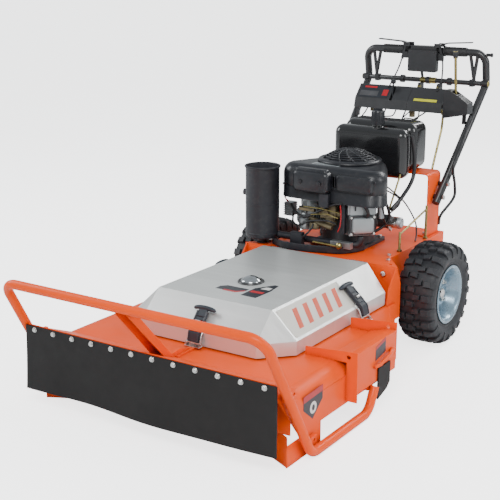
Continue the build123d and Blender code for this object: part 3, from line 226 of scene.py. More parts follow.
def round_rect(x0, y0, x1, y1, radius, steps=5):
    """Outline of a rounded rectangle."""
    out = []
    for cx, cy, start in (
        (x1 - radius, y1 - radius, 0), (x0 + radius, y1 - radius, 90),
        (x0 + radius, y0 + radius, 180), (x1 - radius, y0 + radius, 270),
    ):
        for k in range(steps + 1):
            t = math.radians(start + 90 * k / steps)
            out.append((cx + radius * math.cos(t), cy + radius * math.sin(t)))
    return out


# ---------------------------------------------------------------- materials
def links(tree, source, target):
    tree.links.new(source, target)


def noise(tree, coords, scale, detail=4.0, stretch=None, rough=0.55):
    """Noise texture, optionally stretched along one axis."""
    source = coords
    if stretch:
        mapping = tree.nodes.new("ShaderNodeMapping")
        mapping.inputs["Scale"].default_value = stretch
        links(tree, coords, mapping.inputs["Vector"])
        source = mapping.outputs["Vector"]
    tex = tree.nodes.new("ShaderNodeTexNoise")
    tex.inputs["Scale"].default_value = scale
    tex.inputs["Detail"].default_value = detail
    tex.inputs["Roughness"].default_value = rough
    links(tree, source, tex.inputs["Vector"])
    return tex.outputs["Fac"]


def remap(tree, value, low, high, from_low=0.3, from_high=0.7):
    node = tree.nodes.new("ShaderNodeMapRange")
    node.inputs["From Min"].default_value = from_low
    node.inputs["From Max"].default_value = from_high
    node.inputs["To Min"].default_value = low
    node.inputs["To Max"].default_value = high
    links(tree, value, node.inputs["Value"])
    return node.outputs["Result"]


def blend(tree, factor, first, second):
    """Colour between two colours or sockets."""
    node = tree.nodes.new("ShaderNodeMix")
    node.data_type = "RGBA"
    if isinstance(factor, float):
        node.inputs[0].default_value = factor
    else:
        links(tree, factor, node.inputs[0])
    for socket, value in ((node.inputs[6], first), (node.inputs[7], second)):
        if isinstance(value, tuple):
            socket.default_value = (*value, 1)
        else:
            links(tree, value, socket)
    return node.outputs[2]


def tint(colour, gain):
    return tuple(min(1.0, c * gain) for c in colour)


def surface(
    name, colour, rough, metal=0.0, coat=0.0, mottle=(6, 0.08), grain=(900, 0.05), spread=0.06,
    stretch=None, dust=0.0, aniso=0.0, spec=0.5, crevice_shade=0.25,
):
    """Painted, moulded or metal surface: uneven colour and gloss, a fine relief and painted shade darkening
    the crevices.
    """
    mat = bpy.data.materials.new(name)
    mat.use_nodes = True
    tree = mat.node_tree
    shader = tree.nodes["Principled BSDF"]
    coords = tree.nodes.new("ShaderNodeTexCoord").outputs["Object"]
    cloud = noise(tree, coords, mottle[0], 5, stretch)
    base = blend(tree, remap(tree, cloud, 0, 1), tint(colour, 1 - mottle[1]), tint(colour, 1 + mottle[1]))
    # painted shade: ambient occlusion darkens the base colour in crevices and corners, where shade falls
    if crevice_shade:
        corner = tree.nodes.new("ShaderNodeAmbientOcclusion")
        corner.samples = 4
        corner.inputs["Distance"].default_value = 0.02
        shade = remap(tree, corner.outputs["AO"], crevice_shade, 0.0, 0.35, 0.95)
        base = blend(tree, shade, base, tint(colour, 0.25))
    if dust:
        specks = noise(tree, coords, 55, 8)
        base = blend(tree, remap(tree, specks, 0, dust, 0.52, 0.72), base, (0.34, 0.31, 0.27))
    links(tree, base, shader.inputs["Base Color"])
    smear = noise(tree, coords, mottle[0] * 4, 6, stretch)
    links(tree, remap(tree, smear, rough - spread, rough + spread), shader.inputs["Roughness"])
    shader.inputs["Metallic"].default_value = metal
    shader.inputs["Specular IOR Level"].default_value = spec
    shader.inputs["Coat Weight"].default_value = coat
    shader.inputs["Coat Roughness"].default_value = 0.12
    shader.inputs["Anisotropic"].default_value = aniso
    relief = tree.nodes.new("ShaderNodeBump")
    relief.inputs["Strength"].default_value = grain[1]
    relief.inputs["Distance"].default_value = 0.0006
    links(tree, noise(tree, coords, grain[0], 3, stretch), relief.inputs["Height"])
    links(tree, relief.outputs["Normal"], shader.inputs["Normal"])
    return mat


ORANGE = surface(
    "orange_paint", (0.92, 0.082, 0.0), 0.4, coat=0.06, mottle=(3, 0.05), grain=(420, 0.12), crevice_shade=0.45,
    spec=0.2,
)
BLACK = surface("black_paint", (0.018, 0.018, 0.02), 0.38, coat=0.25, mottle=(5, 0.25), grain=(700, 0.2))
MATT_BLACK = surface("matt_black", (0.015, 0.016, 0.022), 0.5, mottle=(7, 0.25), grain=(600, 0.35), dust=0.04)
STEEL = surface(
    "brushed_sheet", (0.7, 0.715, 0.7), 0.36, metal=0.55, mottle=(2.2, 0.05), grain=(240, 0.2), spread=0.08,
    stretch=(1, 14, 1), aniso=0.35, crevice_shade=0.15,
)
ZINC = surface("zinc", (0.68, 0.68, 0.66), 0.3, metal=1, mottle=(40, 0.14), grain=(500, 0.25), spread=0.1)
YELLOW_ZINC = surface(
    "yellow_zinc", (0.34, 0.28, 0.11), 0.32, metal=1, mottle=(30, 0.25), grain=(500, 0.2), spread=0.1,
)
TOOL = surface("ground_steel", (0.36, 0.36, 0.37), 0.3, metal=1, mottle=(25, 0.2), grain=(400, 0.3))
BEARING = surface("bearing_steel", (0.75, 0.75, 0.76), 0.14, metal=1, mottle=(20, 0.05), grain=(300, 0.05))
IRON = surface("cast_iron", (0.07, 0.07, 0.075), 0.6, metal=0.4, mottle=(22, 0.3), grain=(260, 0.7))
CASTING = surface(
    "cast_aluminium", (0.34, 0.36, 0.37), 0.44, metal=0.85, mottle=(18, 0.16), grain=(330, 0.55), crevice_shade=0.5,
)
GREY_PAINT = surface(
    "grey_cover", (0.33, 0.36, 0.37), 0.36, metal=0.35, coat=0.3, mottle=(12, 0.08), grain=(420, 0.3),
    crevice_shade=0.5,
)
TAN = surface(
    "tan_casting", (0.2, 0.165, 0.1), 0.45, metal=0.75, mottle=(30, 0.25), grain=(330, 0.5), crevice_shade=0.5,
)
PLASTIC = surface("black_moulding", (0.011, 0.012, 0.016), 0.33, mottle=(6, 0.2), grain=(800, 0.3), dust=0.04)
TANK = surface(
    "tank_plastic", (0.01, 0.01, 0.011), 0.16, coat=0.5, mottle=(4, 0.2), grain=(120, 0.14), spread=0.05,
)
RUBBER = surface("sheet_rubber", (0.013, 0.012, 0.012), 0.6, mottle=(5, 0.1), grain=(500, 0.3), spec=0.3)
TYRE = surface("tyre_rubber", (0.016, 0.017, 0.021), 0.56, mottle=(14, 0.3), grain=(420, 0.6), dust=0.05)
GRIP = surface("grip_rubber", (0.014, 0.014, 0.015), 0.6, mottle=(14, 0.2), grain=(600, 0.5))
HOSE = surface("hose_rubber", (0.014, 0.014, 0.016), 0.4, mottle=(20, 0.2), grain=(700, 0.2))
SILVER = surface(
    "wheel_paint", (0.24, 0.34, 0.42), 0.28, metal=0.6, coat=0.5, mottle=(8, 0.06), grain=(380, 0.15),
    crevice_shade=0.4,
)
CHROME = surface("chrome", (0.5, 0.52, 0.54), 0.06, metal=1, mottle=(9, 0.06), grain=(200, 0.03), spread=0.03)
RED = surface(
    "red_print", (0.46, 0.006, 0.012), 0.38, coat=0.1, mottle=(30, 0.06), grain=(500, 0.05), crevice_shade=0.1,
)
WHITE = surface(
    "white_print", (0.78, 0.77, 0.74), 0.32, coat=0.4, mottle=(25, 0.04), grain=(500, 0.05), crevice_shade=0.1,
)
CREAM = surface(
    "cream_label", (0.56, 0.54, 0.48), 0.42, coat=0.08, mottle=(12, 0.04), grain=(400, 0.08), crevice_shade=0.1,
)
DARK_LABEL = surface(
    "dark_print", (0.012, 0.015, 0.022), 0.38, coat=0.1, mottle=(25, 0.2), grain=(500, 0.05), crevice_shade=0.1,
)
YELLOW = surface(
    "yellow_print", (0.62, 0.6, 0.02), 0.35, coat=0.4, mottle=(25, 0.08), grain=(500, 0.05), crevice_shade=0.1,
)
LATCH_RUBBER = surface("latch_rubber", (0.022, 0.028, 0.038), 0.5, mottle=(9, 0.2), grain=(600, 0.3))
BAR_PRINT = surface(
    "orange_print", (0.62, 0.05, 0.0), 0.42, mottle=(25, 0.06), grain=(500, 0.05), crevice_shade=0.1, spec=0.3,
)
FILTER_PAINT = surface(
    "filter_paint", (0.42, 0.44, 0.46), 0.3, metal=0.6, mottle=(20, 0.06), grain=(500, 0.1),
)
BELT = surface("belt_fabric", (0.02, 0.02, 0.021), 0.75, mottle=(60, 0.3), grain=(900, 0.8))

# ---------------------------------------------------------------- CAD nodes that are shown as they are
def dress(node, material, bevel):
    """Finish on a CAD node, with its flat facets joined and its edges rounded by modifiers."""
    obj = NODES[node]
    for i in range(max(1, len(obj.data.materials))):
        if i < len(obj.data.materials):
            obj.data.materials[i] = material
        else:
            obj.data.materials.append(material)
    if bevel:
        weld = obj.modifiers.new("weld", "WELD")
        weld.merge_threshold = 0.00002
        flat = obj.modifiers.new("flat", "DECIMATE")
        flat.decimate_type = "DISSOLVE"
        flat.angle_limit = math.radians(0.6)
        round_edges(obj, bevel, 2, 28)


SHOWN = {
    "deck_shell": (ORANGE, 2.0), "chute_hoops": (ORANGE, 0.9), "discharge_chute": (ORANGE, 1.2),
    "guard_bar": (ORANGE, 0.8), "chassis": (ORANGE, 1.0), "tail_arch": (ORANGE, 1.2),
    "hood": (STEEL, 1.6), "hood_hinges": (ZINC, 0.8), "latch_clevises": (ZINC, 0.6),
    "chute_flap": (RUBBER, 0.8), "blade": (TOOL, 0.6), "blade_carrier": (BLACK, 0.8),
    "spindle_shaft": (TOOL, 0.5), "spindle_housing": (IRON, 1.0), "spindle_bearings": (BEARING, 0.5),
    "spindle_pulley": (ZINC, 0.5), "engine_pulley": (ZINC, 0.5), "drive_belt": (BELT, 0.8),
    "idler_arm": (ZINC, 0.5), "idler_pulley": (ZINC, 0.5), "idler_pivot": (ORANGE, 0.5),
    "transaxle": (CASTING, 0.8), "axle_left": (ZINC, 0.6), "axle_right": (ZINC, 0.6),
    "crankshaft": (TOOL, 0.5), "engine_block": (IRON, 1.2), "starter_motor": (BLACK, 0.8),
    "exhaust_pipe": (MATT_BLACK, 0.6), "frame_bolts": (ZINC, 0.6), "linkage": (YELLOW_ZINC, 0.5),
    "shift_link": (YELLOW_ZINC, 0.5), "control_box": (BLACK, 1.0), "console": (BLACK, 1.2),
    "lever_left": (BLACK, 0.8), "lever_right": (BLACK, 0.8), "shift_lever": (YELLOW_ZINC, 0.5),
    "throttle_lever": (PLASTIC, 0.8), "handlebar": (BLACK, 0.6),
}
for node_name, (node_finish, node_bevel) in SHOWN.items():
    dress(node_name, node_finish, node_bevel)

# ---------------------------------------------------------------- wheels
WHEEL_R = 203.0
WHEEL_X = 384.0


def wheel_point(side, x, radius, turn):
    """Point on a wheel from its distance along the axle, its radius and its turn about the axle."""
    return Vector((side * x, radius * math.cos(turn), WHEEL_R + radius * math.sin(turn)))


def tyre_radius(offset):
    """Outer radius of the carcass at a distance from its middle plane."""
    k = min(1.0, abs(offset) / 75)
    return 189 - 4 * k ** 2 - 12 * k ** 6


def knob(shape, side, x0, x1, turn, half, height, skew=0.0):
    """One tread block across part of the tread, with sloping walls."""
    rings = []
    for lift, shrink in ((-5, 0.0), (height - 1.5, 0.16), (height, 0.24)):
        ring = []
        for x, t in ((x0, -half), (x1, -half), (x1, half), (x0, half)):
            mid = (x0 + x1) / 2
            px = mid + (x - mid) * (1 - shrink * 0.55)
            lean = skew * (px - WHEEL_X) / 75
            radius = tyre_radius(px - WHEEL_X) + lift
            ring.append(wheel_point(side, px, radius, turn + lean + t * (1 - shrink)))
        rings.append(ring)
    shape.skin(rings)


def tyre(side):
    """Knobby flotation tyre: carcass with raised bands, tread blocks and shoulder lugs."""
    body = Shape()
    profile = [
        (102.5, -52), (108, -58), (118, -62), (121, -66), (126, -67), (129, -66), (142, -72), (156, -75),
        (168, -74), (178, -71), (184, -64), (187, -45), (189, -15), (189, 15), (187, 45), (184, 64),
        (178, 71), (168, 74), (156, 75), (142, 72), (129, 66), (126, 67), (121, 66), (118, 62), (108, 58),
        (102.5, 52), (102.2, 40), (102.2, -40),
    ]
    body.lathe(profile, (side * WHEEL_X, 0, WHEEL_R), (side, 0, 0), 96, closed=True)
    count = 22
    pitch = 2 * math.pi / count
    for i in range(count):
        turn = i * pitch
        knob(body, side, WHEEL_X - 27, WHEEL_X + 3, turn, 0.058, 13, 0.05)
        knob(body, side, WHEEL_X - 3, WHEEL_X + 27, turn + pitch / 2, 0.058, 13, -0.05)
        for way in (-1, 1):
            inner, outer = WHEEL_X + way * 33, WHEEL_X + way * 64
            offset = 0 if way < 0 else pitch / 2
            knob(body, side, min(inner, outer), max(inner, outer), turn + offset, 0.072, 14)
            # shoulder lug wraps down the side wall, alternately long and short
            reach = 152 if i % 2 else 163
            x_edge = WHEEL_X + way * 60
            top = tyre_radius(60) + 12
            rings = []
            for r, out, half in (
                (top, 0, 0.066), (top - 6, 11, 0.07), (176, 17.5, 0.066), (reach, 17.5, 0.052),
                (reach - 5, 12, 0.046),
            ):
                x = x_edge + way * out
                deep = x_edge - way * 4
                rings.append([
                    wheel_point(side, deep, r - 5, turn + offset - half),
                    wheel_point(side, x, r, turn + offset - half),
                    wheel_point(side, x, r, turn + offset + half),
                    wheel_point(side, deep, r - 5, turn + offset + half),
                ])
            body.skin(rings)
    name = "left" if side > 0 else "right"
    body.build(f"tyre_{name}_tread", TYRE, f"wheel_{name}", bevel=1.2, smooth=40, replaces=[f"tyre_{name}"])


def wheel_rim(side):
    """Pressed rim with a rolled lip, a drop centre, a dished disc and a valve."""
    rim = Shape()
    rim.lathe(
        [
            (98, -66), (110, -67), (114.5, -68), (116.5, -66), (115, -63.5), (110, -63), (105, -60),
            (101.5, -50),
            (92, -40), (88, -20), (88, 15), (93, 30), (101.5, 48), (105, 60), (110, 63.5), (115, 65),
            (116.5, 67.5),
            (114, 69.5), (109, 68.5), (102, 65), (98, 52), (88, 36), (84, 20), (82, 16), (70, 14), (40, 19),
            (24, 21), (24, 17), (40, 15), (70, 10), (82, 12), (85, 0), (85, -20), (89, -36), (96, -52),
        ],
        (side * WHEEL_X, 0, WHEEL_R), (side, 0, 0), 96, closed=True,
    )
    name = "left" if side > 0 else "right"
    rim.build(f"rim_{name}_dish", SILVER, f"wheel_{name}", smooth=50, replaces=[f"rim_{name}"])
    hub = Shape()
    hub.lathe(
        [(0, 40), (15, 40), (19, 37), (21, 22), (30, 20), (30, 16), (0, 16)], (side * WHEEL_X, 0, WHEEL_R),
        (side, 0, 0), 40,
    )
    for i in range(4):
        t = math.radians(45 + 90 * i)
        foot = wheel_point(side, WHEEL_X + 16, 50, t)
        hub.hexagon(foot, (side, 0, 0), 20, 12)
        hub.cylinder(foot, foot + Vector((side * 19, 0, 0)), 5.5)
    hub.build(f"hub_{name}_nuts", ZINC, f"wheel_{name}", bevel=0.5)
    valve = Shape()
    root = wheel_point(side, WHEEL_X + 30, 94, math.radians(158))
    tip = wheel_point(side, WHEEL_X + 62, 74, math.radians(158))
    valve.cylinder(root, root.lerp(tip, 0.55), 6.5, 4.5, 16)
    valve.cylinder(root.lerp(tip, 0.5), tip, 4.2, 4.2, 16)
    valve.build(f"valve_{name}", HOSE, f"wheel_{name}", bevel=0.4)


for wheel_side in (-1, 1):
    tyre(wheel_side)
    wheel_rim(wheel_side)

# ---------------------------------------------------------------- front flap and its fasteners
LIP_Y = -1345.0
FLAP_TOP = 288.0
FLAP_HALF = 499.0


def flap_sheet():
    """Hanging rubber sheet: flat along its bolts, lightly billowed and uneven along its lower edge."""
    columns, rows = 120, 26
    thick = 6.0
    front, back = [], []
    for j in range(rows + 1):
        drop = j / rows
        row_front, row_back = [], []
        for i in range(columns + 1):
            u = i / columns
            x = FLAP_HALF * (2 * u - 1)
            wave = 0.6 * math.sin(2.1 + 8.6 * u) + 0.4 * math.sin(0.4 + 15.2 * u)
            low = 60 + 4 * math.sin(0.9 + 6.8 * u)
            z = FLAP_TOP - (FLAP_TOP - low) * drop
            sway = -14 * drop ** 1.7 * (0.45 + 0.55 * wave)
            y = LIP_Y - 0.05 + sway
            row_front.append((x, y - thick, z))
            row_back.append((x, y, z))
        front.append(row_front)
        back.append(row_back)
    sheet = Shape()
    rings = []
    for j in range(rows + 1):
        rings.append(front[j] + back[j][::-1])
    sheet.skin(rings)
    sheet.build("front_flap_sheet", RUBBER, "mower", bevel=0.8, smooth=50, replaces=["front_flap"])


flap_sheet()
bolts = Shape()
for i in range(12):
    x = -457.6 + 83.2 * i
    face = LIP_Y - 6.1
    bolts.lathe([(0, 0), (9, 0), (9, 1.2), (8.4, 1.8), (0, 1.8)], (x, face, 277), (0, -1, 0), 28)
    bolts.lathe(
        [(0, 1.5), (6.8, 1.5), (6.4, 3.4), (4.6, 5.1), (2.2, 5.9), (0, 6.1)], (x, face, 277), (0, -1, 0),
        24,
    )
bolts.build("flap_bolt_heads", ZINC, "mower", smooth=30)
dress("flap_bolts", ZINC, 0.4)

# ---------------------------------------------------------------- hood dress: dome, labels, latches
SPINDLE_Y = -730.0
HOOD_TOP = 365.0


def arc_profile(radius, low, high, steps=10):
    """Profile of a shallow cap from its rim to its middle."""
    rise = high - low
    ball = (radius ** 2 + rise ** 2) / (2 * rise)
    out = []
    for k in range(steps + 1):
        r = radius * (1 - k / steps)
        out.append((r, high - ball + math.sqrt(ball ** 2 - r ** 2)))
    return out


dome = Shape()
dome.lathe(
    [(0, 0.1), (48, 0.1), (48, 2), (46, 5), (42, 6.5), (39.5, 5.5), (0, 5.5)], (0, SPINDLE_Y, HOOD_TOP),
    steps=72,
)
dome.build("hood_dome_ring", BLACK, "hood_lid", bevel=0.4, replaces=["hood_dome"])
cap = Shape()
cap.lathe([(0, 5), (38, 5)] + arc_profile(38, 6, 22), (0, SPINDLE_Y, HOOD_TOP), steps=72)
cap.build("hood_dome_cap", CHROME, "hood_lid", smooth=60)


def sticker(outline, place, material, name, body, thick=0.35, lift=0.05):
    """Thin label. place turns (u, v, height) on its face into a point."""
    shape = Shape()
    shape.skin([[place(u, v, h) for u, v in outline] for h in (lift, lift + thick)])
    shape.build(name, material, body)


def top_face(u, v, h):
    return Vector((u, SPINDLE_Y + v, HOOD_TOP + h))


sticker(
    [(-62, -132), (20, -132), (46, -102), (46, -82), (-44, -82), (-62, -102)], top_face, DARK_LABEL,
    "hood_mark_front", "hood_lid",
)
sticker(
    [(-30, -136), (22, -136), (44, -112), (44, -100), (18, -124), (-30, -124)], top_face, RED,
    "hood_mark_front_band", "hood_lid", lift=0.15,
)
sticker(
    [(56, -150), (118, -152), (122, -60), (112, 8), (96, 8), (56, -60)], top_face, DARK_LABEL,
    "hood_mark_side", "hood_lid",
)
sticker(
    [(62, -106), (112, -104), (112, -84), (62, -86)], top_face, RED, "hood_mark_side_band", "hood_lid",
    lift=0.15,
)
sticker(
    [(78, -58), (112, -56), (110, -30), (86, -32)], top_face, WHITE, "hood_mark_side_patch", "hood_lid",
    lift=0.55,
)

# the slope on the chute side carries a pale panel with plain slanted bars
SLOPE_TOP = Vector((234.0, 0.0, 365.0))
SLOPE_LOW = Vector((330.0, 0.0, 275.0))
SLOPE_DOWN = (SLOPE_LOW - SLOPE_TOP).normalized()
SLOPE_OUT = Vector((-SLOPE_DOWN.z, 0, SLOPE_DOWN.x))


def slope_face(u, v, h):
    """u runs back along the hood from its front edge, v down the slope."""
    return SLOPE_TOP + SLOPE_DOWN * v + SLOPE_OUT * h + Vector((0, -960 + u, 0))


sticker(round_rect(8, 10, 418, 122, 4), slope_face, CREAM, "hood_panel", "hood_lid")
for i in range(5):
    start = 58 + 66 * i
    sticker(
        [(start, 100), (start + 28, 100), (start + 62, 28), (start + 34, 28)], slope_face, BAR_PRINT,
        f"hood_panel_bar_{i}", "hood_lid", lift=0.45,
    )
rivets = Shape()
for u, v in ((14, 116), (412, 116), (14, 16), (412, 16)):
    foot = slope_face(u, v, 0)
    rivets.lathe([(0, 0), (2.6, 0), (2.2, 1.2), (0, 1.7)], foot, SLOPE_OUT, 16)
rivets.build("hood_panel_rivets", ZINC, "hood_lid")


STRAP_HALF = 22.0


def latch(name, body, place):
    """Rubber draw latch: T handle, ribbed strap, lower pin and links. place maps (across, out, up)."""
    grip = Shape()
    rings = []
    for k in range(21):
        s = -1 + k / 10
        across = 45 * s
        fat = 7.5 * (1 - 0.25 * abs(s) ** 6) * (0.35 + 0.65 * math.sqrt(max(0.0, 1 - abs(s) ** 10)))
        bow = -6 * s * s
        turns = [2 * math.pi * j / 16 for j in range(16)]
        rings.append([
            place(across, bow * 0.2 + fat * 1.15 * math.cos(t), bow + fat * math.sin(t)) for t in turns
        ])
    grip.skin(rings)
    path = rounded([(0, 0, 0), (0, 10, -12), (0, 62, -70), (0, 68, -100)], 18)
    thick = 4.5
    rings = []
    for i, p in enumerate(path):
        along = path[min(i + 1, len(path) - 1)] - path[max(i - 1, 0)]
        along.normalize()
        normal = Vector((0, -along.z, along.y))
        wide = STRAP_HALF * (0.75 if i < 3 else 1)
        inner, outer = p - normal * thick, p + normal * thick
        rings.append([
            place(-wide, inner.y, inner.z), place(wide, inner.y, inner.z),
            place(wide, outer.y, outer.z), place(-wide, outer.y, outer.z),
        ])
    grip.skin(rings)
    # moulded ribs across the strap
    for k in range(5):
        out, up = 22 + 9 * k, -24 - 10.5 * k
        grip.tube([place(-18, out + 4, up + 3), place(18, out + 4, up + 3)], 2.6, 10)
    # side rails along the strap
    for way in (-1, 1):
        grip.tube([place(way * 19, p.y + 3, p.z + 3) for p in path[2:]], 3.2, 8)
    grip.build(f"{name}_rubber", LATCH_RUBBER, body, bevel=1.2, smooth=45, replaces=[name])
    metal = Shape()
    metal.cylinder(place(-30, 66, -104), place(30, 66, -104), 4.2, sides=20)
    metal.cylinder(place(-11, 40, -36), place(11, 40, -36), 5.0, sides=20)
    for way in (-1, 1):
        x = way * 26
        metal.tube([place(x, 66, -104), place(x, 58, -78), place(x, 44, -62)], 3.0, 12)
        metal.cylinder(place(x, 44, -62), place(way * 16, 44, -62), 3.0, sides=12)
    metal.build(f"{name}_pins", ZINC, body, bevel=0.3)


latch("latch_front", "latch_front_strap", lambda a, o, u: Vector((a, -1012 - o, 345 + u)))
latch("latch_left", "latch_left_strap", lambda a, o, u: Vector((272 + o * 1.16, -520 + a, 346 + u)))
latch("latch_right", "latch_right_strap", lambda a, o, u: Vector((-272 - o * 1.16, -520 + a, 346 + u)))

# shield label on the deck side and plate on the chute
def deck_side(u, v, h):
    return Vector((492 + h, u, v))


sticker(
    [(-1187, 196), (-1069, 202), (-1069, 156), (-1130, 107), (-1187, 153)], deck_side, DARK_LABEL,
    "deck_shield", "mower",
)
sticker(
    [(-1187, 196), (-1069, 202), (-1069, 181), (-1187, 175)], deck_side, RED, "deck_shield_band", "mower",
    lift=0.45,
)
oval = [(-1127 + 20 * math.cos(t), 144 + 20 * math.sin(t)) for t in [math.pi * k / 12 for k in range(24)]]
sticker(oval, deck_side, WHITE, "deck_shield_spot", "mower", lift=0.45)
core = [(-1127 + 9 * math.cos(t), 144 + 11 * math.sin(t)) for t in [math.pi * k / 3 for k in range(6)]]
sticker(core, deck_side, DARK_LABEL, "deck_shield_core", "mower", lift=0.85)


def chute_side(u, v, h):
    return Vector((516.1 + h, u, v))


sticker([(-758, 230), (-686, 246), (-684, 196), (-760, 181)], chute_side, DARK_LABEL, "chute_label", "mower")
sticker(
    [(-758, 230), (-686, 246), (-686, 236), (-758, 220)], chute_side, RED, "chute_label_band", "mower",
    lift=0.45,
)

# ---------------------------------------------------------------- engine
CRANK_Y = -10.0
SHROUD_TOP = 690.0


def hull(circles, inset=0.0, steps=96):
    """Outline around circles of (x, y, radius), pulled in by inset."""
    out = []
    for k in range(steps):
        t = 2 * math.pi * k / steps
        c, s = math.cos(t), math.sin(t)
        x, y, r = max(circles, key=lambda o: o[0] * c + o[1] * s + o[2])
        out.append((x + (r - inset) * c, y + (r - inset) * s))
    return out


def rounding(low, radius, depth, steps=8):
    """Levels of (height, inset) for an edge rounded inwards above a height."""
    turns = [math.pi / 2 * k / steps for k in range(1, steps + 1)]
    return [(low + radius * math.sin(a), depth * (1 - math.cos(a))) for a in turns]


SHROUD_PLAN = [(-163, -133, 62), (163, -133, 62), (0, CRANK_Y, 152)]
shroud = Shape()
levels = [(551, 5), (553, -1.5), (562, -1.5), (564, 0), (598, 0), (600, 1.6), (602, 0), (646, 0)]
levels += rounding(646, SHROUD_TOP - 646, 38)
shroud.skin([[(x, y, z) for x, y in hull(SHROUD_PLAN, inset)] for z, inset in levels])
# front panel beside the air cleaner, and the strap between them
for x0, x1, z0, z1, deep in ((44, 198, 606, 668, 12), (28, 40, 616, 664, 7)):
    shroud.skin([
        [(x, y, z) for x, z in round_rect(x0 + g, z0 + g, x1 - g, z1 - g, 5 if deep < 10 else 13)]
        for y, g in ((-188, 0), (-193 - deep * 0.6, 0), (-194 - deep * 0.9, 1.5), (-195 - deep, 4))
    ])
shroud.build("engine_shroud_shell", PLASTIC, "mower", smooth=42, replaces=["engine_shroud"])
plate = Shape()
plate.skin([[(x, y, z) for x, y in round_rect(-96, -152, 26, -118, 5)] for z in (689.5, 691.2)])
plate.build("shroud_plate", GREY_PAINT, "mower", bevel=0.6)
marks = Shape()
for x0, x1, y0, y1 in ((-88, -52, -147, -141), (-30, 12, -128, -123), (4, 16, -146, -136)):
    marks.box((x0, y0, 690.8), (x1, y1, 691.5))
for x, z in ((52, 660), (190, 660), (190, 614), (206, 651), (-190, 610)):
    marks.lathe(
        [(0, 0), (4.5, 0), (4.2, 2), (0, 2.6)], (x, -207 if abs(x) < 200 else -190, z), (0, -1, 0), 16,
    )
marks.build("shroud_marks", MATT_BLACK, "mower")

# domed fan guard with ring slots
GUARD_RISE = 40.0
GUARD_REACH = 110.0
GUARD_BALL = (GUARD_REACH ** 2 + GUARD_RISE ** 2) / (2 * GUARD_RISE)


def dome_point(r, turn, lift=0.0):
    """Point on the fan guard's dome."""
    z = SHROUD_TOP + 10 + GUARD_RISE - GUARD_BALL + math.sqrt(GUARD_BALL ** 2 - r ** 2) + lift
    return (r * math.cos(turn), CRANK_Y + r * math.sin(turn), z)


dome_base = Shape()
dome_base.lathe(
    [(0, -0.5), (108, -0.5), (108, 8)]
    + [(r, dome_point(r, 0, -4.5)[2] - SHROUD_TOP) for r in range(106, 0, -8)],
    (0, CRANK_Y, SHROUD_TOP), steps=72,
)
dome_base.build("fan_guard_screen", MATT_BLACK, "mower", smooth=60)
guard = Shape()
guard.lathe(
    [(107, 0), (127, 0), (129, 3), (128, 8), (123, 12.5), (116, 14), (109, 12.5), (106, 9)],
    (0, CRANK_Y, SHROUD_TOP), steps=96, closed=True,
)
for r in range(30, 108, 11):
    guard.tube([dome_point(r, 2 * math.pi * k / 64, -1.2) for k in range(64)], 2.9, 8, closed=True)
for i in range(12):
    start = 2 * math.pi * i / 12
    guard.tube([dome_point(22 + 11 * k, start + 0.085 * k, -0.6) for k in range(9)], 3.3, 8)
guard.lathe(
    [(0, 36), (26, 36), (27, 39), (24, 42), (10, 43.5), (0, 43.5)], (0, CRANK_Y, SHROUD_TOP + 5), steps=48,
)
guard.build("fan_guard", PLASTIC, "mower", smooth=50, replaces=["fan_cover"])

cleaner = Shape()
cleaner.skin([
    [(x, y, z) for x, z in round_rect(-134 + g, 592 + g, 24 - g, 677 - g, 20 - g * 0.6, 8)]
    for y, g in ((-195.5, 0), (-222, 0), (-229, 1.5), (-234, 5), (-237, 11))
])
cleaner.skin([
    [(x, y, z) for x, y in round_rect(-124 + g, -229 + g, 14 - g, -197 - g * 0.4, 9)]
    for z, g in ((668, 0), (681, 0), (684, 2), (685.5, 5))
])
for x in (-98, -12):
    cleaner.lathe([(0, 0), (9, 0), (10, 4), (8.5, 8), (0, 9)], (x, -234, 634), (0, -1, 0), 12)
cleaner.box((-130, -236.5, 611), (20, -235, 613))
cleaner.build("air_cleaner_case", PLASTIC, "mower", smooth=42, replaces=["air_cleaner"])


def polar(turn):
    """Maps (outward from the crank, across, height) for a cylinder's direction."""
    c, s = math.cos(math.radians(turn)), math.sin(math.radians(turn))
    return lambda u, v, z: (u * c - v * s, CRANK_Y + u * s + v * c, z)


covers, flanges, cowls, cover_bolts, slots = Shape(), Shape(), Shape(), Shape(), Shape()
for turn in (-45, -135):
    place = polar(turn)
    out = Vector(place(1, 0, 0)) - Vector(place(0, 0, 0))
    covers.skin([
        [place(u, v, z) for v, z in round_rect(-44 + g, 437 + g, 44 - g, 500 - g, 13 - g * 0.5)]
        for u, g in ((188, 0), (200, 0.5), (205, 2.5), (207.5, 7))
    ])
    flanges.skin([
        [place(u, v, z) for v, z in round_rect(-52 + g, 429 + g, 52 - g, 506 - g, 15)]
        for u, g in ((178, 0), (191, 0), (193, 1.5))
    ])
    cowls.skin([[place(u, v, z) for v, z in round_rect(-50, 509, 52, 566, 5)] for u in (176, 188)])
    cowls.skin([[place(u, v, z) for v, z in round_rect(-58, 510, 58, 552, 4)] for u in (106, 178)])
    slots.skin([[place(u, v, z) for v, z in round_rect(-33, 526, -26, 554, 3)] for u in (187.5, 188.6)])
    for v, z in ((-46, 435), (46, 435), (-46, 500), (46, 500)):
        cover_bolts.hexagon(place(192, v, z), out, 9, 5)
    for v in (-12, 24):
        cover_bolts.lathe([(0, 0), (8, 0), (8, 5), (6, 8), (0, 8.6)], place(186, v, 566), out, 20)
covers.build("valve_cover_caps", GREY_PAINT, "mower", bevel=0.6, smooth=42, replaces=["valve_covers"])
flanges.build("valve_cover_flanges", IRON, "mower", bevel=0.6)
cowls.build("cylinder_cowls", GREY_PAINT, "mower", bevel=1.2)
slots.build("cowl_slots", MATT_BLACK, "mower")
cover_bolts.build("cover_bolts", ZINC, "mower", bevel=0.3)
dress("cylinders", CASTING, 0.5)

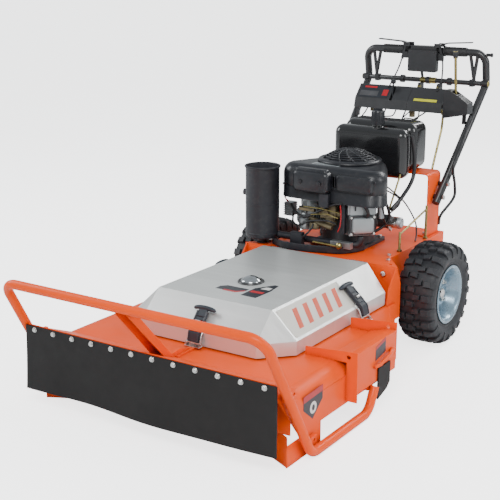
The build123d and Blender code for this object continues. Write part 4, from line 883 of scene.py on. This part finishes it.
# carburettor, manifold and small castings between the cylinders
carb = Shape()
carb.box((-34, -184, 484), (34, -132, 540))
carb.cylinder((-50, -158, 502), (50, -158, 502), 14)
carb.lathe([(0, 0), (18, 0), (25, 5), (26, 20), (24, 34), (0, 34)], (2, -160, 452), steps=36)
carb.lathe([(0, 0), (9, 0), (9, 6), (0, 7)], (2, -160, 446), steps=20)
carb.cylinder((-8, -186, 512), (-8, -196, 512), 15)
carb.cylinder((22, -186, 496), (22, -193, 496), 9)
riser = Shape()
riser.box((-20, -222, 538), (20, -182, 552))
riser.box((-20, -222, 550), (20, -202, 592))
riser.build("intake_riser", MATT_BLACK, "mower", bevel=2.2)
carb.build("carburettor_body", TAN, "mower", bevel=2.2, smooth=40, replaces=["carburettor"])
small = Shape()
small.box((-124, -196, 507), (-56, -184, 519))
small.tube(rounded([(-110, -150, 470), (-70, -178, 474), (-30, -186, 462), (24, -188, 452)], 20), 11, 16)
small.lathe([(0, 0), (20, 0), (23, 4), (23, 26), (16, 34), (0, 34)], (-60, -176, 436), steps=32)
small.build("manifold_castings", TAN, "mower", bevel=1.6)
grey = Shape()
grey.lathe([(0, 0), (22, 0), (24, 5), (24, 44), (20, 50), (0, 50)], (-112, -170, 428), steps=32)
grey.box((-226, -142, 462), (-188, -104, 518))
for k in range(6):
    grey.box((-229, -145, 465 + 9 * k), (-186, -102, 469 + 9 * k))
grey.cylinder((172, -66, 486), (172, -66, 552), 14)
grey.cylinder((172, -66, 552), (172, -66, 556), 16)
grey.box((20, -196, 376), (110, -172, 402))
grey.build("engine_castings", CASTING, "mower", bevel=1.4)

# black skirt along the front of the engine plate, brackets and hoses
skirt = Shape()
skirt_run = spline(
    [(-240, -212), (-174, -250), (-82, -252), (0, -232), (71, -204), (110, -150), (125, -100)], 8,
)
for z0, z1, deep in ((355.3, 385, 5.0), (355.3, 362, 9.0)):
    rings = []
    for k, spot in enumerate(skirt_run):
        step = Vector(skirt_run[min(k + 1, len(skirt_run) - 1)]) - Vector(skirt_run[max(k - 1, 0)])
        step.normalize()
        inner = Vector(spot) + Vector((-step.y, step.x)) * deep
        rings.append([
            (spot.x, spot.y, z0), (inner.x, inner.y, z0), (inner.x, inner.y, z1), (spot.x, spot.y, z1),
        ])
    skirt.skin(rings)
skirt.box((-150, -222, 356), (-96, -196, 420))
skirt.box((60, -182, 430), (74, -160, 560))
skirt.build("engine_skirt", MATT_BLACK, "mower", bevel=3.0)
hoses = Shape()
for radius, run in (
    (
        5,
        [(-176, -170, 520), (-140, -196, 498), (-90, -204, 486), (-20, -200, 520), (30, -204, 548),
         (70, -196, 556)],
    ),
    (
        4,
        [(-190, -130, 470), (-160, -180, 452), (-120, -200, 446), (-70, -202, 470), (10, -206, 482),
         (40, -190, 470)],
    ),
    (6, [(166, -30, 556), (176, -12, 520), (176, 4, 476), (158, -10, 440), (120, -60, 410)]),
    (5, [(150, -100, 556), (160, -96, 520), (166, -88, 470), (150, -80, 430)]),
    (4, [(178, -76, 556), (186, -70, 520), (180, -50, 480), (176, -20, 452)]),
    (7, [(128, -176, 560), (150, -160, 548), (160, -148, 520), (146, -140, 500)]),
    (
        3.2,
        [(146, -6, 615), (168, 70, 560), (178, 148, 505), (200, 199, 424), (226, 160, 382), (240, 120, 362)],
    ),
    (3.2, [(146, 20, 584), (170, 92, 540), (176, 92, 512), (168, 30, 488)]),
    (4, [(-60, -180, 476), (-60, -210, 440), (-100, -214, 400), (-150, -190, 380)]),
):
    hoses.tube(spline(run, 8), radius, 12)
hoses.build("engine_hoses", HOSE, "mower", smooth=60)
wires = Shape()
for k in range(3):
    wires.tube(
        spline([(-214, -150 - 6 * k, 560), (-222 + 4 * k, -146, 540 - 6 * k), (-212, -132, 520)], 8), 2.0,
        8,
    )
wires.tube(spline([(60, -194, 560), (68, -200, 520), (64, -196, 470), (50, -190, 440)], 8), 2.4, 8)
wires.build("engine_wires", RED, "mower")
rods = Shape()
rods.cylinder((150, 147, 623), (150, 49, 487), 4, sides=12)
rods.tube(rounded([(-96, -208, 528), (-20, -212, 530), (66, -206, 520)], 10), 2.2, 8)
rods.tube(rounded([(-60, -212, 500), (10, -214, 512), (60, -206, 498)], 10), 1.8, 8)
rods.cylinder((-40, -226, 395), (76, -226, 392), 4.5, sides=14)
rods.lathe([(0, 0), (12, 0), (12, 10), (7, 14), (0, 14)], (72, -214, 392), (0, -1, 0), 24)
rods.build("engine_rods", YELLOW_ZINC, "mower")
fittings = Shape()
fittings.cylinder((144, 40, 440), (176, 40, 440), 11)
fittings.hexagon((176, 40, 440), (1, 0, 0), 22, 10)
fittings.cylinder((160, 40, 440), (160, 40, 420), 8)
fittings.hexagon((150, 64, 413), (1, 0, 0), 18, 8)
fittings.build("oil_fittings", ZINC, "mower", bevel=0.5)
FILTER_AT = (150.3, 64, 443)
can = Shape()
can.lathe(
    [(0, 0), (19, 0), (21, 2), (21, 8), (23.5, 10), (23.5, 48), (21, 53), (14, 55.5), (0, 55.5)],
    FILTER_AT, (1, 0, 0), 40,
)
can.build("oil_filter_can", FILTER_PAINT, "mower", smooth=45, replaces=["oil_filter"])
band = Shape()
band.lathe([(23.2, 22), (23.8, 22), (23.8, 40), (23.2, 40)], FILTER_AT, (1, 0, 0), 40, closed=True)
band.build("oil_filter_band", ZINC, "mower")

# ---------------------------------------------------------------- muffler
MUFFLER = (-288.0, -210.0)
can = Shape()
can.lathe(
    [
        (0, 380.2), (58, 380.2), (64, 381.5), (68, 386), (68.5, 396), (70.5, 398), (70.5, 401), (68.5, 403),
        (68.5, 520),
        (69.5, 521), (69.5, 524), (68.5, 525), (68.5, 662), (70, 665), (72.4, 668), (73, 671), (72, 674),
        (69, 675),
        (66.5, 673), (66, 668), (66, 396), (0, 392),
    ],
    (*MUFFLER, 0), steps=96,
)
can.lathe([(0, 386), (40, 388), (40, 630), (36, 640), (24, 645), (0, 646)], (*MUFFLER, 0), steps=48)
can.lathe([(0, 355.3), (25, 355.3), (25, 360), (20, 362), (20, 382), (0, 382)], (*MUFFLER, 0), steps=40)
can.cylinder((MUFFLER[0] - 66, MUFFLER[1], 555), (MUFFLER[0] - 88, MUFFLER[1], 555), 13)
for k in range(12):
    t = math.radians(30 * k)
    can.cylinder(
        (MUFFLER[0] + 36 * math.cos(t), MUFFLER[1] + 36 * math.sin(t), 600),
        (MUFFLER[0] + 41 * math.cos(t), MUFFLER[1] + 41 * math.sin(t), 600), 5, sides=12,
    )
seam = [(MUFFLER[0] + 68.6 * math.cos(2.3), MUFFLER[1] + 68.6 * math.sin(2.3), z) for z in (400, 660)]
can.tube(seam, 2.2, 8)
can.build("muffler_can", MATT_BLACK, "mower", smooth=40, replaces=["muffler"])

# ---------------------------------------------------------------- fuel tank and cap
tank = Shape()
tank.box((-170, 150, 598), (163, 226, 804))
tank.build("fuel_tank_front", TANK, "mower", bevel=34, smooth=60, segments=9, replaces=["fuel_tank"])
tank = Shape()
tank.box((-165, 229, 620.3), (165, 378, 820))
tank.build("fuel_tank_rear", TANK, "mower", bevel=38, smooth=60, segments=9)
trim = Shape()
trim.box((-112, 196, 668), (112, 300, 768))
trim.lathe([(0, -20), (27, -20), (27, 3), (24, 6), (21, 8), (21, 30), (0, 30)], (20, 188, 800), steps=40)
trim.lathe([(0, 0), (10, 0), (9, 3), (0, 4)], (156, 212, 650), (1, 0, 0), 20)
trim.build("fuel_tank_trim", TANK, "mower", bevel=1.5, smooth=50)
cap = Shape()
cap.lathe(
    [
        (21.3, 812), (26, 812), (26.5, 816), (26.5, 866), (24, 871), (18, 873), (0, 873), (0, 837),
        (21.3, 837),
    ],
    (20, 188, 0), steps=60,
)
for k in range(24):
    t = 2 * math.pi * k / 24
    mid = Vector((20 + 26.3 * math.cos(t), 188 + 26.3 * math.sin(t), 841))
    cap.cylinder(mid - Vector((0, 0, 25)), mid + Vector((0, 0, 25)), 1.7, sides=8)
cap.box((0, 184, 872), (40, 192, 881))
cap.build("fuel_cap_body", PLASTIC, "cap", bevel=0.8, smooth=40, replaces=["fuel_cap"])

# ---------------------------------------------------------------- handlebar, grips, console and cables
BAR = (664.0, 1081.0)
CROSS = (668.0, 950.0)
grips = Shape()
for side in (-1, 1):
    profile = [(16.2, 0), (22.5, 0), (22.5, 4), (19.6, 6)]
    for k in range(15):
        h = 9 + 6 * k
        profile += [(19.6, h), (20.3, h + 1), (20.3, h + 3), (19.6, h + 4)]
    profile += [(19.6, 102), (18, 104), (16.2, 104)]
    grips.lathe(profile, (side * 96, *BAR), (side, 0, 0), 32, closed=True)
grips.build("hand_grips", GRIP, "mower", smooth=45, replaces=["grips"])
metal = Shape()
dark = Shape()
for side in (-1, 1):
    metal.lathe([(0, 0), (13, 0), (13, 3), (9, 6), (0, 7)], (side * 300, *CROSS), (side, 0, 0), 24)
    dark.cylinder((side * 270, *CROSS), (side * 301, *CROSS), 14)
    dark.box((side * 228 - 9, 654, 935), (side * 228 + 9, 682, 965))
dark.cylinder((288, 664, 1074), (312, 664, 1074), 7)
dark.hexagon((308, 664, 1074), (1, 0, 0), 17, 8)
metal.cylinder((-14, *CROSS), (58, *CROSS), 13.5)
dark.cylinder((12, *CROSS), (30, *CROSS), 16)
for x in (-104, 122):
    dark.cylinder((x - 9, *CROSS), (x + 9, *CROSS), 17)
for x in (-6, 84):
    dark.box((x - 5, 628, 915), (x + 5, 672, 940))
    metal.lathe([(0, 0), (10, 0), (10, 12), (0, 12)], (x - 6, 634, 922), (1, 0, 0), 20)
for x0, y0, z0 in ((-80, 640, 1062), (88, 640, 1056)):
    dark.box((x0 - 12, y0 - 8, z0 - 16), (x0 + 12, y0 + 8, z0 + 12))
dark.build("bar_fittings", BLACK, "mower", bevel=1.5)
metal.build("bar_sleeves", YELLOW_ZINC, "mower", bevel=0.8)
box_screws = Shape()
for x, z in ((-50, 1000), (64, 1074)):
    box_screws.lathe([(0, 0), (4, 0), (3.6, 1.6), (0, 2.4)], (x, 620, z), (0, -1, 0), 16)
box_screws.build("control_box_screws", BLACK, "mower")

SLOPE_LENGTH = math.hypot(52, 56)


def console_face(u, v, h):
    """u across the machine, v up the console's sloping face from its lower edge."""
    k = v / SLOPE_LENGTH
    return Vector((u, 520 + 52 * k - h * 56 / SLOPE_LENGTH, 872 + 56 * k + h * 52 / SLOPE_LENGTH))


sticker(round_rect(-252, 6, -108, 68, 3), console_face, DARK_LABEL, "console_label", "mower")
sticker(
    [(-236, 56), (-176, 56), (-176, 65), (-236, 65)], console_face, RED, "console_red_bar", "mower",
    lift=0.5,
)
sticker(
    [(-140, 18), (-114, 18), (-114, 50), (-140, 50)], console_face, RED, "console_red_patch", "mower",
    lift=0.5,
)
sticker(
    [(-250, 12), (-160, 12), (-160, 40), (-250, 40)], console_face, IRON, "console_grey_patch", "mower",
    lift=0.5,
)
sticker([(20, 3), (128, 3), (128, 16), (20, 16)], console_face, YELLOW, "console_yellow_strip", "mower")
under = Shape()
under.cylinder((6, 545, 832), (6, 545, 800), 13)
under.cylinder((-190, 545, 832), (-190, 545, 812), 9)
under.build("console_switches", TAN, "mower", bevel=1.0)
control_cables = Shape()
for radius, run in (
    (3.0, [(-206, 545, 838), (-204, 505, 812), (-196, 452, 790), (-150, 398, 770), (-130, 384, 700)]),
    (3.0, [(-120, 545, 834), (-112, 500, 806), (-96, 440, 800), (-100, 396, 790), (-104, 384, 700)]),
    (3.0, [(-70, 545, 832), (-66, 500, 806), (-80, 450, 806), (-96, 400, 800), (-90, 384, 720)]),
    (3.2, [(-24, 545, 830), (-20, 500, 790), (10, 470, 780), (60, 500, 812), (80, 540, 832)]),
    (2.6, [(0, 545, 828), (-16, 505, 802), (-4, 450, 790), (10, 400, 800), (0, 386, 730)]),
    (3.0, [(40, 545, 830), (52, 500, 800), (36, 452, 806), (30, 410, 806), (40, 384, 740)]),
    (3.4, [(-96, 638, 1046), (-104, 620, 1000), (-116, 590, 950), (-120, 560, 920)]),
    (3.4, [(98, 638, 1044), (108, 620, 1000), (116, 590, 950), (112, 560, 918)]),
):
    control_cables.tube(spline(run, 8), radius, 10)
control_cables.build("control_cables", HOSE, "mower", smooth=60)
red_lead = Shape()
red_lead.tube(spline([(-150, 400, 640), (-120, 350, 612), (-90, 340, 606), (-60, 362, 612)], 8), 3, 8)
red_lead.tube(spline([(80, 300, 606), (110, 260, 600), (140, 240, 612), (170, 250, 640)], 8), 3, 8)
red_lead.build("red_leads", RED, "mower")
lines = Shape()
lines.tube(spline([
    (296, 500, 832), (301, 405, 728), (298, 340, 640), (297, 366, 560), (297, 360, 505), (286, 262, 450),
    (262, 300, 402),
], 14), 6.0, 14)
lines.tube(
    spline([(174, 188, 780), (182, 205, 700), (182, 200, 605), (176, 120, 540), (176, 22, 505)], 14), 8, 14,
)
lines.build("long_hoses", HOSE, "mower", smooth=60, replaces=["cables"])
knobs = Shape()
knobs.lathe([(0, 0), (9, 0), (11, 6), (11, 24), (8, 30), (0, 31)], (220, 489, 1072), steps=28)
knobs.build("shift_knob", PLASTIC, "shift_handle")

# ---------------------------------------------------------------- stage, light and camera
FLOOR = 60.0  # half the floor's width, in metres
stage_mesh = bpy.data.meshes.new("floor")
stage_mesh.from_pydata(
    [(-FLOOR, -FLOOR, 0), (FLOOR, -FLOOR, 0), (FLOOR, FLOOR, 0), (-FLOOR, FLOOR, 0)], [], [(0, 1, 2, 3)],
)
floor = bpy.data.objects.new("floor", stage_mesh)
bpy.context.scene.collection.objects.link(floor)
floor_mat = bpy.data.materials.new("pale_floor")
floor_mat.use_nodes = True
floor_shader = floor_mat.node_tree.nodes["Principled BSDF"]
floor_coords = floor_mat.node_tree.nodes.new("ShaderNodeTexCoord").outputs["Object"]
floor_cloud = noise(floor_mat.node_tree, floor_coords, 1.5, 4)
floor_tree = floor_mat.node_tree
floor_colour = blend(floor_tree, floor_cloud, (0.9, 0.9, 0.9), (0.94, 0.94, 0.94))
links(floor_tree, floor_colour, floor_shader.inputs["Base Color"])
floor_shader.inputs["Roughness"].default_value = 0.6
floor_ray = floor_tree.nodes.new("ShaderNodeLightPath").outputs["Is Camera Ray"]
floor_shader.inputs["Emission Color"].default_value = (1, 1, 1, 1)
floor_glow = remap(floor_tree, floor_ray, 0.0, 2.6, 0.0, 1.0)
links(floor_tree, floor_glow, floor_shader.inputs["Emission Strength"])
stage_mesh.materials.append(floor_mat)

world = bpy.data.worlds.new("studio")
world.use_nodes = True
bpy.context.scene.world = world
sky = world.node_tree
background = sky.nodes["Background"]
sky_coords = sky.nodes.new("ShaderNodeTexCoord").outputs["Generated"]
height = sky.nodes.new("ShaderNodeSeparateXYZ")
links(sky, sky_coords, height.inputs["Vector"])
soft = blend(sky, remap(sky, height.outputs["Z"], 0, 1, -0.1, 0.9), (0.92, 0.94, 0.97), (0.62, 0.66, 0.7))
foliage = noise(sky, sky_coords, 2.6, 3)
band = remap(sky, foliage, 0.0, 0.55, 0.45, 0.7)
tinted = blend(sky, band, soft, (0.36, 0.42, 0.34))
is_camera = sky.nodes.new("ShaderNodeLightPath")
seen = blend(sky, is_camera.outputs["Is Camera Ray"], tinted, (3.2, 3.2, 3.2))
links(sky, seen, background.inputs["Color"])
background.inputs["Strength"].default_value = 0.85


def lamp(name, place, target, size, power, colour=(1, 1, 1)):
    """Soft rectangular light aimed at a point."""
    data = bpy.data.lights.new(name, "AREA")
    data.shape = "RECTANGLE"
    data.size, data.size_y = size
    data.energy = power
    data.color = colour
    obj = bpy.data.objects.new(name, data)
    obj.location = place
    obj.rotation_euler = (Vector(target) - Vector(place)).to_track_quat("-Z", "Y").to_euler()
    bpy.context.scene.collection.objects.link(obj)


lamp("key", (1.6, -3.4, 3.6), (0, -0.2, 0.4), (2.2, 1.6), 150)
lamp("left", (-3.8, -1.2, 2.6), (0, 0, 0.5), (1.6, 2.4), 90, (0.95, 0.98, 1.0))
lamp("rear", (1.2, 3.6, 3.0), (0, 0.2, 0.6), (2.4, 1.4), 100)
lamp("side", (4.2, 0.6, 2.2), (0, 0, 0.4), (1.2, 2.2), 62)

camera_data = bpy.data.cameras.new("camera")
camera_data.lens = 77.96
camera_data.sensor_width = 36
camera_data.clip_end = 200
camera = bpy.data.objects.new("camera", camera_data)
camera.location = at(2036.9, -3810.7, 1490.6)
camera.rotation_euler = (math.radians(90 - 15.28), math.radians(0.0), math.radians(33.53))
bpy.context.scene.collection.objects.link(camera)
bpy.context.scene.camera = camera
